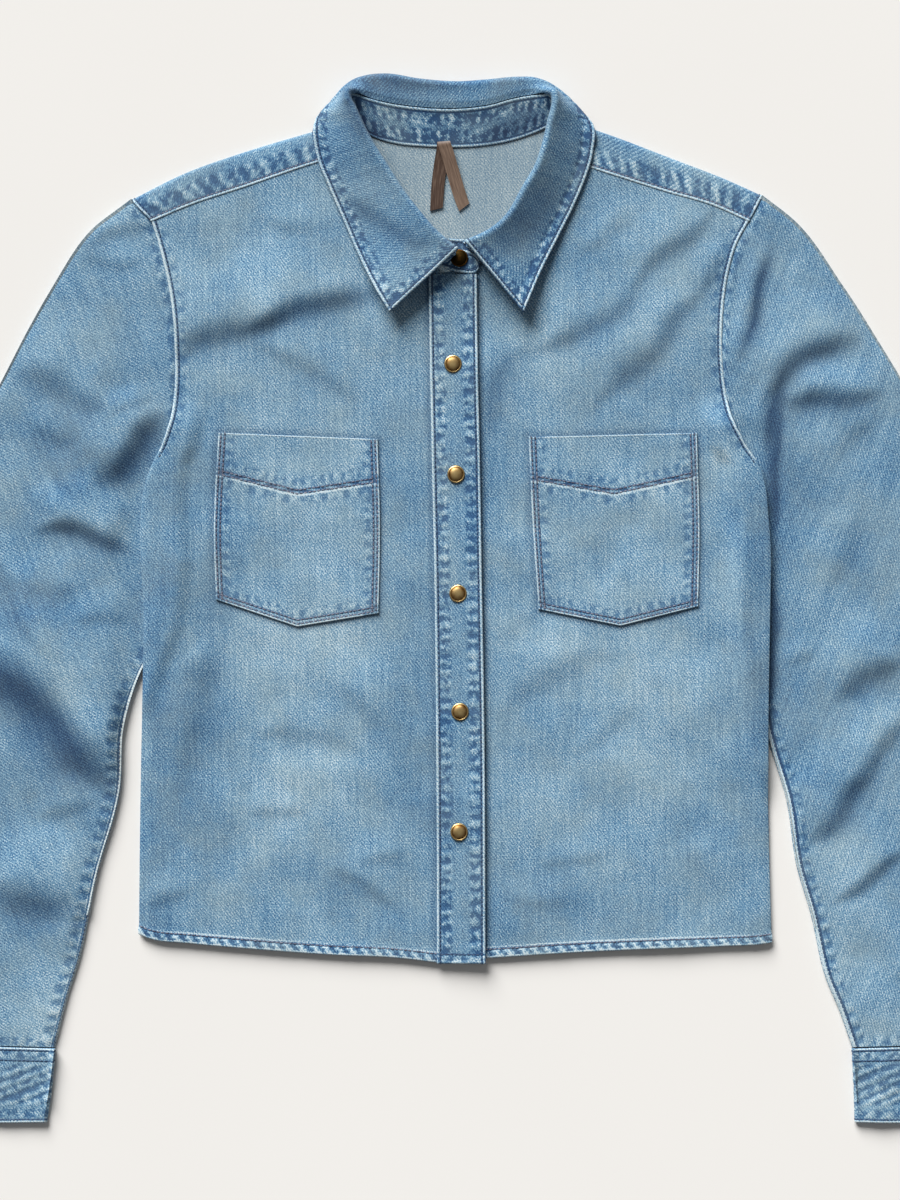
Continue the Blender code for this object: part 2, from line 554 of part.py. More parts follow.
def add_front(name, side, material):
    """A front, from its side and armhole to the edge that lies under the placket."""
    heights = row_heights(side, SHOULDER[side][0].seam.y)
    across = np.linspace(0, 1, FRONT_COLUMNS + 1)
    outside = at_heights(body_edge(side), heights)
    centre = placket_line(1) + np.array([PLACKET_LAP + (side > 0), 0.0])
    hem = smooth(HEM[side])
    neck = smooth(NECKLINE[side])[::-1]
    hem[-1, 0] = np.interp(hem[-1, 1], centre[:, 1], centre[:, 0])
    neck[0, 0] = np.interp(neck[0, 1], centre[:, 1], centre[:, 0])
    straight = heights < LEVEL_ROWS
    level = at_heights(centre, np.r_[hem[-1, 1], hem[-1, 1] + HEM_DEPTH, heights[straight][2:]])
    rest = join(np.array([level[-1], neck[0]]), neck)
    upper = read(rest, np.linspace(0, 1, (~straight).sum() + 1))[1:]
    inside = np.vstack([level, upper])
    seam = shoulder_line(side, "seam") - np.array([0.0, SEAM])
    outside[0], outside[-1], inside[0], inside[-1] = hem[0], seam[0], hem[-1], seam[-1]
    up = (heights - heights[0]) / (heights[-1] - heights[0])
    plan = patch(outside, inside, read(hem, across), read(seam, across), across, up)
    under = UNDER + tuck(plan) + body_loft(plan)
    outer = lifted(plan, under + CLOTH)
    under[:2] = np.maximum(under[:2] - HEM_TURN, UNDER + tuck(plan[:2]))
    quads = grid_quads(*plan.shape[:2])
    if side > 0:
        quads = [q[::-1] for q in quads]
    add_wall(name, lifted(plan, under), outer, quads, material)


def add_back(material):
    """The back below the yoke, flat on the surface but for where it lies on the sleeves."""
    edges = [at_heights(body_edge(side), row_heights(side, BACK_SEAM_Y)) for side in (-1, 1)]
    hem = smooth([*HEM[-1][:-1], *HEM[1][-2::-1]]) + np.array([0.0, HEM_BACK_RISE])
    edges[0][0], edges[1][0] = hem[0], hem[-1]
    seam = straight(edges[0][-1], edges[1][-1])
    across = np.array(BACK_COLUMNS)
    up = np.linspace(0, 1, len(edges[0]))
    plan = patch(*edges, read(hem, across), read(seam, across), across, up)
    lift = tuck(plan)
    add_wall("back", lifted(plan, lift), lifted(plan, lift + CLOTH),
             grid_quads(*plan.shape[:2]), material)


def corner_direction(side):
    """Way from the yoke seam's end to the shoulder fold's end: both pieces there fold along it."""
    corner = SHOULDER[side][0]
    way = np.array(corner.fold) - np.array(corner.seam)
    return way / np.linalg.norm(way)


def outward(line, shares, towards):
    """Unit vectors square to a polyline, on the side where this point lies."""
    step = 1e-3
    along = read(line, np.clip(shares + step, 0, 1)) - read(line, np.clip(shares - step, 0, 1))
    square = np.stack([along[:, 1], -along[:, 0]], axis=-1)
    square /= np.linalg.norm(square, axis=-1, keepdims=True)
    facing = ((np.array(towards) - read(line, shares)) * square).sum(-1)
    return square * np.sign(facing)[:, None]


def wrapped(lower, upper, away, wall, loft):
    """A strip folded over at an edge: inner and outer points from the lower layer to the upper.

    lower and upper are plan points in rows that end and start at the centre of the fold, away
    points out of it, and loft is the extra height of each upper row."""
    inner_radius = GAP / 2
    outer_radius = wall + inner_radius
    faces = []
    for radius in (inner_radius, outer_radius):
        low = [lifted(row, outer_radius - radius) for row in lower]
        turn = [
            lifted(lower[-1] + away * radius * math.cos(a), outer_radius + radius * math.sin(a))
            for a in map(math.radians, FOLD_ANGLES)
        ]
        high = [lifted(row, outer_radius + radius + h) for row, h in zip(upper, loft)]
        faces.append(np.array(low + turn + high))
    return faces


def add_yoke(material):
    """The yoke: its back, and a strip over each shoulder down to the front seam."""
    radius = CLOTH + GAP / 2
    columns = []
    for side in (-1, 1):
        shares = np.linspace(0, 1, SHOULDER_COLUMNS + 1)
        fold, seam = shoulder_line(side, "fold"), shoulder_line(side, "seam")
        edge = body_edge(side)
        end_x = np.interp(BACK_SEAM_Y, edge[:, 1], edge[:, 0])
        base = np.linspace((end_x, BACK_SEAM_Y + SEAM), (side * NECK_HALF, BACK_SEAM_Y + SEAM),
                           len(shares))
        away = outward(fold, shares, (0, FAR))
        away[0] = corner_direction(side)
        crest = read(fold, shares) - away * radius
        target = read(seam, shares)
        ends = at_heights(edge, np.array([BACK_SEAM_Y + SEAM, YOKE_ROW_Y, SHOULDER[side][0].seam.y]))
        ends = np.vstack([ends, crest[:1]])
        bulge = ends - (ends[0] + (ends[-1] - ends[0]) * np.array(YOKE_BELOW)[:, None])
        lower = [base + (crest - base) * s + bulge[i] * (1 - shares)[:, None]
                 for i, s in enumerate(YOKE_BELOW)]
        upper = [crest + (target - crest) * s for s in YOKE_ABOVE]
        inner, outer = wrapped(lower, upper, away, CLOTH, [body_loft(row) for row in upper])
        columns.append((inner, outer))
    shares = np.linspace(0, 1, NECK_COLUMNS + 1)[1:-1]
    neck = read(smooth(BACK_NECK), shares) - np.array([0.0, SEAM])
    base = np.linspace((-NECK_HALF, BACK_SEAM_Y + SEAM), (NECK_HALF, BACK_SEAM_Y + SEAM),
                       NECK_COLUMNS + 1)[1:-1]
    middle = [base + (neck - base) * s for s in YOKE_BELOW]
    (right_in, right_out), (left_in, left_out) = columns
    rows = len(right_in)
    inner, outer, index = [], [], {}
    for row in range(rows):
        parts = [(right_in[row], right_out[row], 0)]
        if row < len(YOKE_BELOW):
            flat = middle[row]
            parts.append((lifted(flat, CLOTH), lifted(flat, 0.0), SHOULDER_COLUMNS + 1))
        parts.append((left_in[row][::-1], left_out[row][::-1], SHOULDER_COLUMNS + NECK_COLUMNS))
        for inside, outside, first in parts:
            for k, pair in enumerate(zip(inside, outside)):
                index[row, first + k] = len(inner)
                inner.append(pair[0])
                outer.append(pair[1])
    quads = []
    for row, column in index:
        cell = [(row, column), (row + 1, column), (row + 1, column + 1), (row, column + 1)]
        if all(c in index for c in cell):
            quads.append(tuple(index[c] for c in cell))
    add_wall("yoke", np.array(inner), np.array(outer), quads, material)


def add_placket(material):
    """The placket strip, on the smooth cloth under it."""
    lines = [placket_line(edge) for edge in (1, 2)]
    columns, rows = PLACKET_CELLS
    left, right = (read(line, np.linspace(0, 1, rows + 1)) for line in lines)
    across = np.linspace(0, 1, columns + 1)[None, :, None]
    plan = left[:, None] * (1 - across) + right[:, None] * across
    bottom = UNDER + LOFT + CLOTH + GAP
    add_wall("placket", lifted(plan, bottom), lifted(plan, bottom + BAND),
             grid_quads(*plan.shape[:2]), material)


def add_pocket(name, side, material):
    """A patch pocket, on the smooth cloth under it."""
    p = POCKET[side]
    across, up = (np.linspace(0, 1, cells + 1) for cells in POCKET_CELLS)
    left = smooth([p.low_left, p.left_mid, p.top_left])
    right = smooth([p.low_right, p.right_mid, p.top_right])
    base = np.array([p.low_left, p.point, p.low_right], float)
    top = np.array([p.top_left, p.top_right], float)
    half = POCKET_CELLS[0] // 2 + 1
    foot = join(np.linspace(base[0], base[1], half), np.linspace(base[1], base[2], half))
    plan = patch(read(left, up), read(right, up), foot, read(top, across), across, up)
    bottom = UNDER + LOFT + CLOTH + GAP
    add_wall(name, lifted(plan, bottom), lifted(plan, bottom + CLOTH),
             grid_quads(*plan.shape[:2]), material)


# Sleeves


def tube_rings(edges, out, layers, wall, along, loft_of):
    """Inner and outer rings of a flattened tube, from its head line to its straight end.

    edges are its outer and inner folded edges, out the unit vectors that point out of them, and
    layers the head line and the cell borders of the lower and of the upper layer."""
    radius = wall + GAP / 2
    first, last = (read(edge, along) - away * radius for edge, away in zip(edges, out))
    tail = straight(first[-1], last[-1])
    plans = []
    for head, across in layers:
        top = read(head, across)
        top[0], top[-1] = first[0], last[0]
        plans.append(patch(first, last, top, read(tail, across), across, along))
    lower, upper = plans
    rings = []
    for r in (GAP / 2, radius):
        parts = [lifted(lower, radius - r)]
        parts += [turned(last, out[1], r, radius, angle) for angle in FOLD_ANGLES]
        parts.append(lifted(upper, radius + r + loft_of(upper))[:, ::-1])
        parts += [turned(first, out[0], r, radius, angle) for angle in FOLD_ANGLES[::-1]]
        rings.append(np.concatenate(parts, axis=1))
    return rings


def turned(centre, away, radius, height, angle):
    """One line of points round a folded edge, at this angle from level."""
    turn = math.radians(angle)
    points = lifted(centre + away * radius * math.cos(turn), height + radius * math.sin(turn))
    return points[:, None]


def add_tube(name, rings, side, material):
    """A flattened tube of cloth, open at both ends."""
    inner, outer = rings
    quads = grid_quads(*inner.shape[:2], ring=True)
    if side > 0:
        quads = [q[::-1] for q in quads]
    add_wall(name, inner, outer, quads, material)


def tube_edges(sections, side, along):
    """Outer and inner folded edge of a flattened tube, and unit vectors out of them."""
    edges = [smooth([getattr(row, name) for row in sections]) for name in Section._fields]
    return edges, [outward(edges[0], along, (side * FAR, 0)), outward(edges[1], along, (0, 0))]


def sleeve_head(side, seam):
    """Head line of a sleeve: across the yoke's end, down the armhole and under the body's side.

    Returns the line, and the shares of its length where the rows of a front meet it."""
    direction = corner_direction(side)
    step = seam * np.array([side * abs(direction[1]), -abs(direction[0])])
    armhole = armhole_line(side)[::-1] + np.array([side * seam, 0.0])
    armhole[0] = np.array(SHOULDER[side][0].seam) + step
    below = smooth([armhole[-1], *SLEEVE_UNDERARM[side], SLEEVE[side][0].inner])
    line = np.vstack([np.array(SHOULDER[side][0].fold) + step, armhole, below[1:]])
    heights = row_heights(side, SHOULDER[side][0].seam.y)
    heights = heights[heights > ARMHOLE[0][0] - 1][::-1]
    known = travelled(line)
    meets = np.interp(-heights, -line[1 : len(armhole) + 1, 1], known[1 : len(armhole) + 1])
    return line, np.r_[0.0, meets[:-1], np.linspace(meets[-1], 1.0, 4)]


def add_sleeve(name, side, material):
    """A sleeve, from the armhole to the cuff seam."""
    along = np.linspace(0, 1, SLEEVE_ALONG + 1)
    line, meets = sleeve_head(side, SEAM)
    below, _ = sleeve_head(side, UNDER_SEAM)
    rows = [Section(line[0], SLEEVE[side][0].inner), *SLEEVE[side][1:]]
    edges, out = tube_edges(rows, side, along)
    out[0][0] = corner_direction(side)
    layers = ((below, np.linspace(0, 1, SLEEVE_BELOW + 1)), (line, meets))
    rings = tube_rings(edges, out, layers, CLOTH, along, lambda plan: sleeve_loft(plan, side))
    add_tube(name, rings, side, material)


def add_cuff(name, side, material):
    """A cuff: a flattened ring of doubled cloth."""
    rows = CUFF[side]
    head = straight(rows[0].outer, rows[0].inner)
    along, across = np.linspace(0, 1, 4), np.linspace(0, 1, CUFF_CELLS + 1)
    edges, out = tube_edges(rows, side, along)
    layers = ((head, across), (head, across))
    add_tube(name, tube_rings(edges, out, layers, BAND, along, lambda plan: 0.0), side, material)


# Collar


def with_thickness(middle, wall):
    """Inner and outer points of a ribbon of this thickness round its middle grid."""
    along = np.gradient(middle, axis=0)
    across = np.gradient(middle, axis=1)
    normal = np.cross(across, along)
    normal /= np.linalg.norm(normal, axis=-1, keepdims=True)
    return middle - normal * wall / 2, middle + normal * wall / 2


def add_stand(material):
    """The collar stand, a band from the neck seam to the leaf, with its front tab."""
    shares = np.linspace(0, 1, 4)[None, :, None]
    rows = [((*tab.outer, TAB_Z), (*tab.inner, TAB_Z)) for tab in TAB]
    for row in COLLAR:
        rows.append(((*row.seam, row.seam_z), (*row.top, row.top_z)))
    low, top = (np.array([row[i] for row in rows], float)[:, None] for i in (0, 1))
    inner, outer = with_thickness(low * (1 - shares) + top * shares, BAND)
    add_wall("collar_stand", inner, outer, grid_quads(*inner.shape[:2]), material)


def leaf_profile(row):
    """Middle line of the leaf at a station, as distance out from the stand's top and height."""
    turn = math.radians(row.turn)
    step = LEAF_START + LEAF_STEP * math.sin(turn)
    start = np.array([0.0, row.top_z]) + step * np.array([math.cos(turn), math.sin(turn)])
    reach = float(np.hypot(*(np.array(row.edge) - np.array(row.top))))
    radius = (row.edge_z - BAND / 2) / 2
    bend = np.array([reach - (radius + BAND / 2 if row.under else LEAF_POINT), BAND / 2 + radius])
    end = np.array([bend[0], row.edge_z])
    centre = start + LEAF_CURL * np.array([math.sin(turn), -math.cos(turn)])
    drop = math.atan2(centre[1] + LEAF_CURL - end[1], end[0] - centre[0])
    points = [centre + LEAF_CURL * np.array([-math.sin(a), math.cos(a)])
              for a in np.linspace(turn, -drop, 5)]
    if not row.turn:
        points = [start + np.array(LEAF_RISE) * share for share in np.linspace(0, 1, 5)]
    crest = points[-1]
    for share in (0.25, 0.5, 0.75, 1.0):
        fall = share if row.under else 1.2 * share - 0.2 * share**2
        points.append(crest + (end - crest) * np.array([share, min(fall, 1.0)]))
    hanging = 0 < row.under < 1
    for angle in map(math.radians, (60, 30, 0, -30) if hanging else (45, 0, -45, -90)):
        if row.under:
            points.append(bend + radius * np.array([math.cos(angle), math.sin(angle)]))
        else:
            points.append(points[-1] + np.array([LEAF_POINT / 4, 0.0]))
    if row.under > 1:
        points[-1] = np.array([bend[0] - row.under, BAND / 2])
    return np.array(points)


def add_leaf(material):
    """The collar leaf: over the fronts at its ends, turned down behind at the back."""
    middle = []
    for row in COLLAR:
        top, edge = np.array(row.top), np.array(row.edge)
        away = (edge - top) / np.linalg.norm(edge - top)
        profile = leaf_profile(row)
        middle.append(lifted(top + profile[:, :1] * away, profile[:, 1]))
    inner, outer = with_thickness(np.array(middle), BAND)
    add_wall("collar_leaf", inner, outer, grid_quads(*inner.shape[:2]), material)


def add_label(material):
    """The bare neck label, a ribbon folded into two tails."""
    table = np.array(LABEL)
    line, tilt = table[:, :3], np.radians(table[:, 3])
    half = lifted(np.stack([np.cos(tilt), np.sin(tilt)], axis=-1) * LABEL_WIDTH / 2, 0.0)
    middle = np.stack([line - half, line + half], axis=1)
    inner, outer = with_thickness(middle, RIBBON)
    add_wall("neck_label", inner, outer, grid_quads(*inner.shape[:2]), material)


# Snaps


def snap_mesh():
    """A domed snap cap, standing on z = 0."""
    bm = bmesh.new()
    bmesh.ops.create_cone(bm, cap_ends=True, segments=SNAP_SEGMENTS, radius1=SNAP_RADIUS * MM,
                          radius2=SNAP_RADIUS * MM, depth=SNAP_RIM * MM)
    bmesh.ops.translate(bm, verts=bm.verts, vec=(0, 0, SNAP_RIM / 2 * MM))
    top = max(bm.faces, key=lambda face: face.calc_center_median().z)
    for step in SNAP_STEPS:
        bmesh.ops.inset_region(bm, faces=[top], thickness=step.inset * MM, depth=0)
        bmesh.ops.translate(bm, verts=top.verts, vec=(0, 0, step.rise * MM))
    mesh = bpy.data.meshes.new("snap_cap")
    bm.to_mesh(mesh)
    bm.free()
    mesh.shade_smooth()
    mesh.set_sharp_from_angle(angle=math.radians(40))
    return mesh


def add_snaps(material):
    """The caps on the placket, on the stand's tab and on the cuffs."""
    mesh = snap_mesh()
    on_placket = UNDER + LOFT + CLOTH + GAP + BAND + GAP
    on_tab = TAB_Z + BAND / 2 + 2 * GAP
    on_cuff = 2 * BAND + GAP + GAP
    places = [(f"snap_{i + 1}", spot, on_placket) for i, spot in enumerate(SNAPS)]
    places.append(("snap_6", STAND_SNAP, on_tab))
    for name, side in (("snap_cuff_right", -1), ("snap_cuff_left", 1)):
        middle = CUFF[side][1]
        places.append((name, At(middle.outer.x - side * CUFF_SNAP_INSET, middle.outer.y), on_cuff))
    for name, spot, height in places:
        snap = add_object(name, mesh, material)
        snap.location = (spot.x * MM, spot.y * MM, height * MM)


def build():
    for obj in list(bpy.data.objects):
        bpy.data.objects.remove(obj, do_unlink=True)
    add_back(make_material("back_denim", DENIM))
    add_yoke(make_material("yoke_denim", DENIM))
    add_front("front_right", -1, make_material("front_right_denim", DENIM))
    add_front("front_left", 1, make_material("front_left_denim", DENIM))
    add_placket(make_material("placket_denim", DEEP_DENIM))
    add_pocket("pocket_right", -1, make_material("pocket_right_denim", DENIM))
    add_pocket("pocket_left", 1, make_material("pocket_left_denim", DENIM))
    add_sleeve("sleeve_right", -1, make_material("sleeve_right_denim", DENIM))
    add_sleeve("sleeve_left", 1, make_material("sleeve_left_denim", DENIM))
    add_cuff("cuff_right", -1, make_material("cuff_right_denim", DEEP_DENIM))
    add_cuff("cuff_left", 1, make_material("cuff_left_denim", DEEP_DENIM))
    add_stand(make_material("stand_denim", DEEP_DENIM))
    add_leaf(make_material("leaf_denim", DEEP_DENIM))
    add_label(make_material("label_satin", SATIN))
    add_snaps(make_material("snap_brass", BRASS))


build()
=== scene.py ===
"""The looks of a washed denim shirt that lies flat on its back.

Tables and sizes are in millimetres, and meshes are made in metres in the frame of the solids:
+X to the right of someone who looks down at the shirt, +Y towards the collar, +Z up, floor at 0.
"Right" is the wearer's right, at -X. Each piece of cloth is a grid of points, rows along it and
columns across it, in the form of its solid, with finer creases, rolled edges and sewing.
"""

import logging
import math
from collections.abc import Callable, Sequence
from dataclasses import dataclass, field
from enum import Enum
from typing import NamedTuple

import bmesh
import bpy
from bpy.types import Material, Mesh, Node, NodeSocket, NodeTree, Object
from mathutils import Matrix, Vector
from mathutils.bvhtree import BVHTree
import numpy as np


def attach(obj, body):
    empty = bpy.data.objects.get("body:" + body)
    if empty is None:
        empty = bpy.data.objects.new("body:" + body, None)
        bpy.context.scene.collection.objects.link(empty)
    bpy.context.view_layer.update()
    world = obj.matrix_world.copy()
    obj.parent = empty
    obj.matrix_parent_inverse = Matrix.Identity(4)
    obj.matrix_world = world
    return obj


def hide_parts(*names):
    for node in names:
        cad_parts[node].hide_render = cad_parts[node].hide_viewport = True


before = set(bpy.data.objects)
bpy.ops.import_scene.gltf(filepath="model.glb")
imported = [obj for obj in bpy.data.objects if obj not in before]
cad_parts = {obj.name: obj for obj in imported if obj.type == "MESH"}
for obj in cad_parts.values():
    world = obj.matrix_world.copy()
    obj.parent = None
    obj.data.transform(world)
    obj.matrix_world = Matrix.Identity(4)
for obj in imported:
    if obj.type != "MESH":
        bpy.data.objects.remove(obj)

LOG = logging.getLogger("denim_shirt")
MM = 0.001
Array = np.ndarray
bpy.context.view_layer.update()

CLOTH = 1.2  # thickness of one layer
BAND = 2.0  # of doubled cloth
RIBBON = 1.0  # of the label
GAP = 0.3  # between one piece and the next
UNDER = CLOTH + GAP  # underside of the upper cloth where it is pressed flat
FAR = 2000.0  # distance of a point that only gives a direction
OPEN = 50.0  # the distance to sewing that stands for none near
UNSEWN = 30.0  # what a distance gains where a border isn't sewn
ROPED = 0.5  # the rope of a seam from which on it is strong
COLLAR_RISE = 0.8  # how much higher the collar stands than its solid, above its foot
COLLAR_FOOT = 5.0  # height from which on it does
# Marks: "shade" is painted shade; "groove" brings painted shade along stitches and edges; the wear
# mark also holds painted shade and painted light.
MARKS = ("edge", "groove", "pucker", "zone", "wear_and_painted_light", "shade")  # what a piece's points carry


class At(NamedTuple):
    """A point in plan."""

    x: float
    y: float


class Side(Enum):
    """Side of the wearer, with the sign of its X."""

    RIGHT = -1
    LEFT = 1


class Border(Enum):
    """A border of a grid of points."""

    START = "first row"
    END = "last row"
    FIRST = "first column"
    LAST = "last column"


class Section(NamedTuple):
    """Outer and inner edge of a flattened tube."""

    outer: At
    inner: At


class Shoulder(NamedTuple):
    """Where a yoke folds over the shoulder, and where its front seam lies."""

    fold: At
    seam: At


class PocketCorners(NamedTuple):
    """Outline of a patch pocket."""

    top_left: At
    top_right: At
    right_mid: At
    low_right: At
    point: At
    low_left: At
    left_mid: At


class Station(NamedTuple):
    """A section of the collar: seam, top of the stand, turn of the leaf, silhouette of the leaf."""

    seam: At
    seam_z: float
    top: At
    top_z: float
    turn: float
    edge: At
    edge_z: float
    under: float


class Fold(NamedTuple):
    """A crease: the middle of its steep side, with the crest on the left of the line."""

    start_x: float
    start_y: float
    mid_x: float
    mid_y: float
    end_x: float
    end_y: float
    steep: float  # width of the steep side
    gentle: float  # width of the slope beyond the crest
    height: float
    # painted shade: how dark the colour at its foot is painted
    shade: float  # how dark its foot is, where neither wash nor light reaches


# Curves in plan


def smooth(points: Sequence, chords: int = 12) -> Array:
    """A smooth polyline through some points.

    Args:
        points: The points, of any dimension.
        chords: Chords from one point to the next.

    Returns:
        The points of the polyline.
    """
    points = np.array(points, float)
    knots = np.r_[0.0, np.cumsum(np.linalg.norm(np.diff(points, axis=0), axis=1))]
    slopes = np.gradient(points, knots, axis=0)
    share = np.linspace(0, 1, chords + 1)[1:, None]
    line = [points[:1]]
    for i, width in enumerate(np.diff(knots)):
        line.append(
            points[i] * (2 * share**3 - 3 * share**2 + 1)
            + points[i + 1] * (3 * share**2 - 2 * share**3)
            + slopes[i] * width * (share**3 - 2 * share**2 + share)
            + slopes[i + 1] * width * (share**3 - share**2)
        )
    return np.vstack(line)


def join(first: Array, second: Array) -> Array:
    """Two polylines end to end, where the second starts at the end of the first."""
    return np.vstack([first, second[1:]])


def lengths(line: Array) -> Array:
    """Length of a polyline up to each of its points."""
    return np.r_[0.0, np.cumsum(np.linalg.norm(np.diff(line, axis=0), axis=1))]


def read(line: Array, shares: Array) -> Array:
    """Points of a polyline at these shares of its length."""
    known = lengths(line)
    return np.stack([np.interp(shares * known[-1], known, c) for c in line.T], axis=-1)


def at_heights(line: Array, heights: Array) -> Array:
    """Points of a rising polyline at these values of y."""
    return np.stack([np.interp(heights, line[:, 1], line[:, 0]), heights], axis=-1)


def nearest(points: Array, line: Array) -> tuple[Array, Array, Array]:
    """Where points lie beside a polyline.

    Args:
        points: Plan points, in an array of any shape.
        line: The polyline.

    Returns:
        The distance, the length along the polyline, and +1 on its left side or -1 on its right.
    """
    shape = points.shape[:-1]
    flat = points.reshape(-1, 2)
    starts, steps = line[:-1], np.diff(line, axis=0)
    known = lengths(line)
    squares = np.maximum((steps**2).sum(-1), 1e-12)
    parts = []
    for block in np.array_split(flat, max(1, len(flat) // 4000)):
        offsets = block[:, None] - starts
        share = np.clip((offsets * steps).sum(-1) / squares, 0, 1)
        away = offsets - share[..., None] * steps
        best = np.linalg.norm(away, axis=-1).argmin(-1)
        i = np.arange(len(block))
        chosen, step = away[i, best], steps[best]
        turn = np.sign(step[:, 0] * chosen[:, 1] - step[:, 1] * chosen[:, 0])
        along = known[best] + share[i, best] * np.sqrt(squares[best])
        parts.append((np.linalg.norm(chosen, axis=-1), along, turn))
    return tuple(np.concatenate(p).reshape(shape) for p in zip(*parts))


def ramp(value: Array, low: float, high: float) -> Array:
    """0 below low, 1 above high, and smooth between them."""
    t = np.clip((value - low) / (high - low), 0, 1)
    return t * t * (3 - 2 * t)


def bulge(away: Array, width: float) -> Array:
    """The quarter round by which cloth rises from a folded edge: 0 at the edge, 1 from a width in."""
    t = 1 - np.clip(away / width, 0, 1)
    return np.sqrt(1 - t * t)


def hump(away: Array, width: float) -> Array:
    """A round hump between 0 and a width."""
    t = np.clip(2 * away / width - 1, -1, 1)
    return 1 - t * t


def outward(line: Array, shares: Array, towards: At) -> Array:
    """Unit vectors square to a polyline.

    Args:
        line: The polyline.
        shares: Where they are wanted, as shares of its length.
        towards: A point on the side to which they point.

    Returns:
        The vectors.
    """
    step = 1e-3
    along = read(line, np.clip(shares + step, 0, 1)) - read(line, np.clip(shares - step, 0, 1))
    square = np.stack([along[:, 1], -along[:, 0]], axis=-1)
    square /= np.linalg.norm(square, axis=-1, keepdims=True)
    facing = ((np.array(towards) - read(line, shares)) * square).sum(-1)
    return square * np.sign(facing)[:, None]


def graded(length: float, pitch: float, first: bool = True, last: bool = True) -> Array:
    """Shares of a length for the rows or columns of a grid.

    Args:
        length: The length to share out.
        pitch: Distance between rows in the open.
        first: Whether rows lie close together at the start.
        last: Whether they do at the end.

    Returns:
        Rising shares from 0 to 1.
    """
    fine = np.array((0.0, 0.25, 0.6, 1.1, 1.7, 2.4, 3.2, 4.2, 5.4, 6.8))
    start = fine if first else fine[:1]
    end = length - (fine if last else fine[:1])[::-1]
    count = max(2, round((end[0] - start[-1]) / pitch))
    return np.r_[start, np.linspace(start[-1], end[0], count + 1)[1:-1], end] / length


def lifted(plan: Array, height: float | Array) -> Array:
    """Plan points with a height."""
    return np.concatenate([plan, np.broadcast_to(height, plan.shape[:-1])[..., None]], axis=-1)


def patch(
    left: Array,
    right: Array,
    bottom: Array,
    top: Array,
    across: Array,
    up: Array,
) -> Array:
    """Coons patch of plan points between four curved edges.

    Args:
        left: Points of the left edge, one a row.
        right: Points of the right edge, one a row.
        bottom: Points of the first row.
        top: Points of the last row.
        across: Shares of the columns.
        up: Shares of the rows.

    Returns:
        Plan points, rows first.
    """
    across, up = across[None, :, None], up[:, None, None]
    left, right, bottom, top = left[:, None], right[:, None], bottom[None], top[None]
    sides = (1 - across) * left + across * right
    ends = (1 - up) * bottom + up * top
    low = (1 - across) * bottom[:, :1] + across * bottom[:, -1:]
    high = (1 - across) * top[:, :1] + across * top[:, -1:]
    return sides + ends - (1 - up) * low - up * high


def ripple(plan: Array, wavelength: float, seed: int) -> Array:
    """Smooth unevenness in plan: a seeded sum of plane waves, about 1 high.

    Args:
        plan: Plan points.
        wavelength: Middle wavelength.
        seed: Seed of the draws.

    Returns:
        A value for each point.
    """
    draw = np.random.default_rng(seed)
    total = np.zeros(plan.shape[:-1])
    waves = 9
    for _ in range(waves):
        angle, phase = draw.uniform(0, math.tau, 2)
        number = math.tau / (wavelength * draw.uniform(0.7, 1.6))
        way = number * np.array([math.cos(angle), math.sin(angle)])
        total += np.sin(plan @ way + phase)
    return total / math.sqrt(waves)


def wave(run: Array, pitch: float, seed: int, least: float = 0.25) -> Array:
    """An uneven wave of puckers, from -1 to 1.

    Args:
        run: Distance along the seam.
        pitch: Mean distance from one pucker to the next.
        seed: Seed of the draws.
        least: Height of the lowest pucker, where the highest is 1.

    Returns:
        A value for each distance.
    """
    draw = np.random.default_rng(seed)
    low, high = float(run.min()) - pitch, float(run.max()) + 2 * pitch
    knots = np.arange(low, high, pitch / 2)
    sizes = draw.uniform(least, 1.0, len(knots)) * np.where(np.arange(len(knots)) % 2, 1, -1)
    knots = knots + draw.uniform(-0.3, 0.3, len(knots)) * pitch / 2
    return np.sin(np.interp(run, knots, sizes) * math.pi / 2)


# The shirt's outlines and heights, shared by the pieces


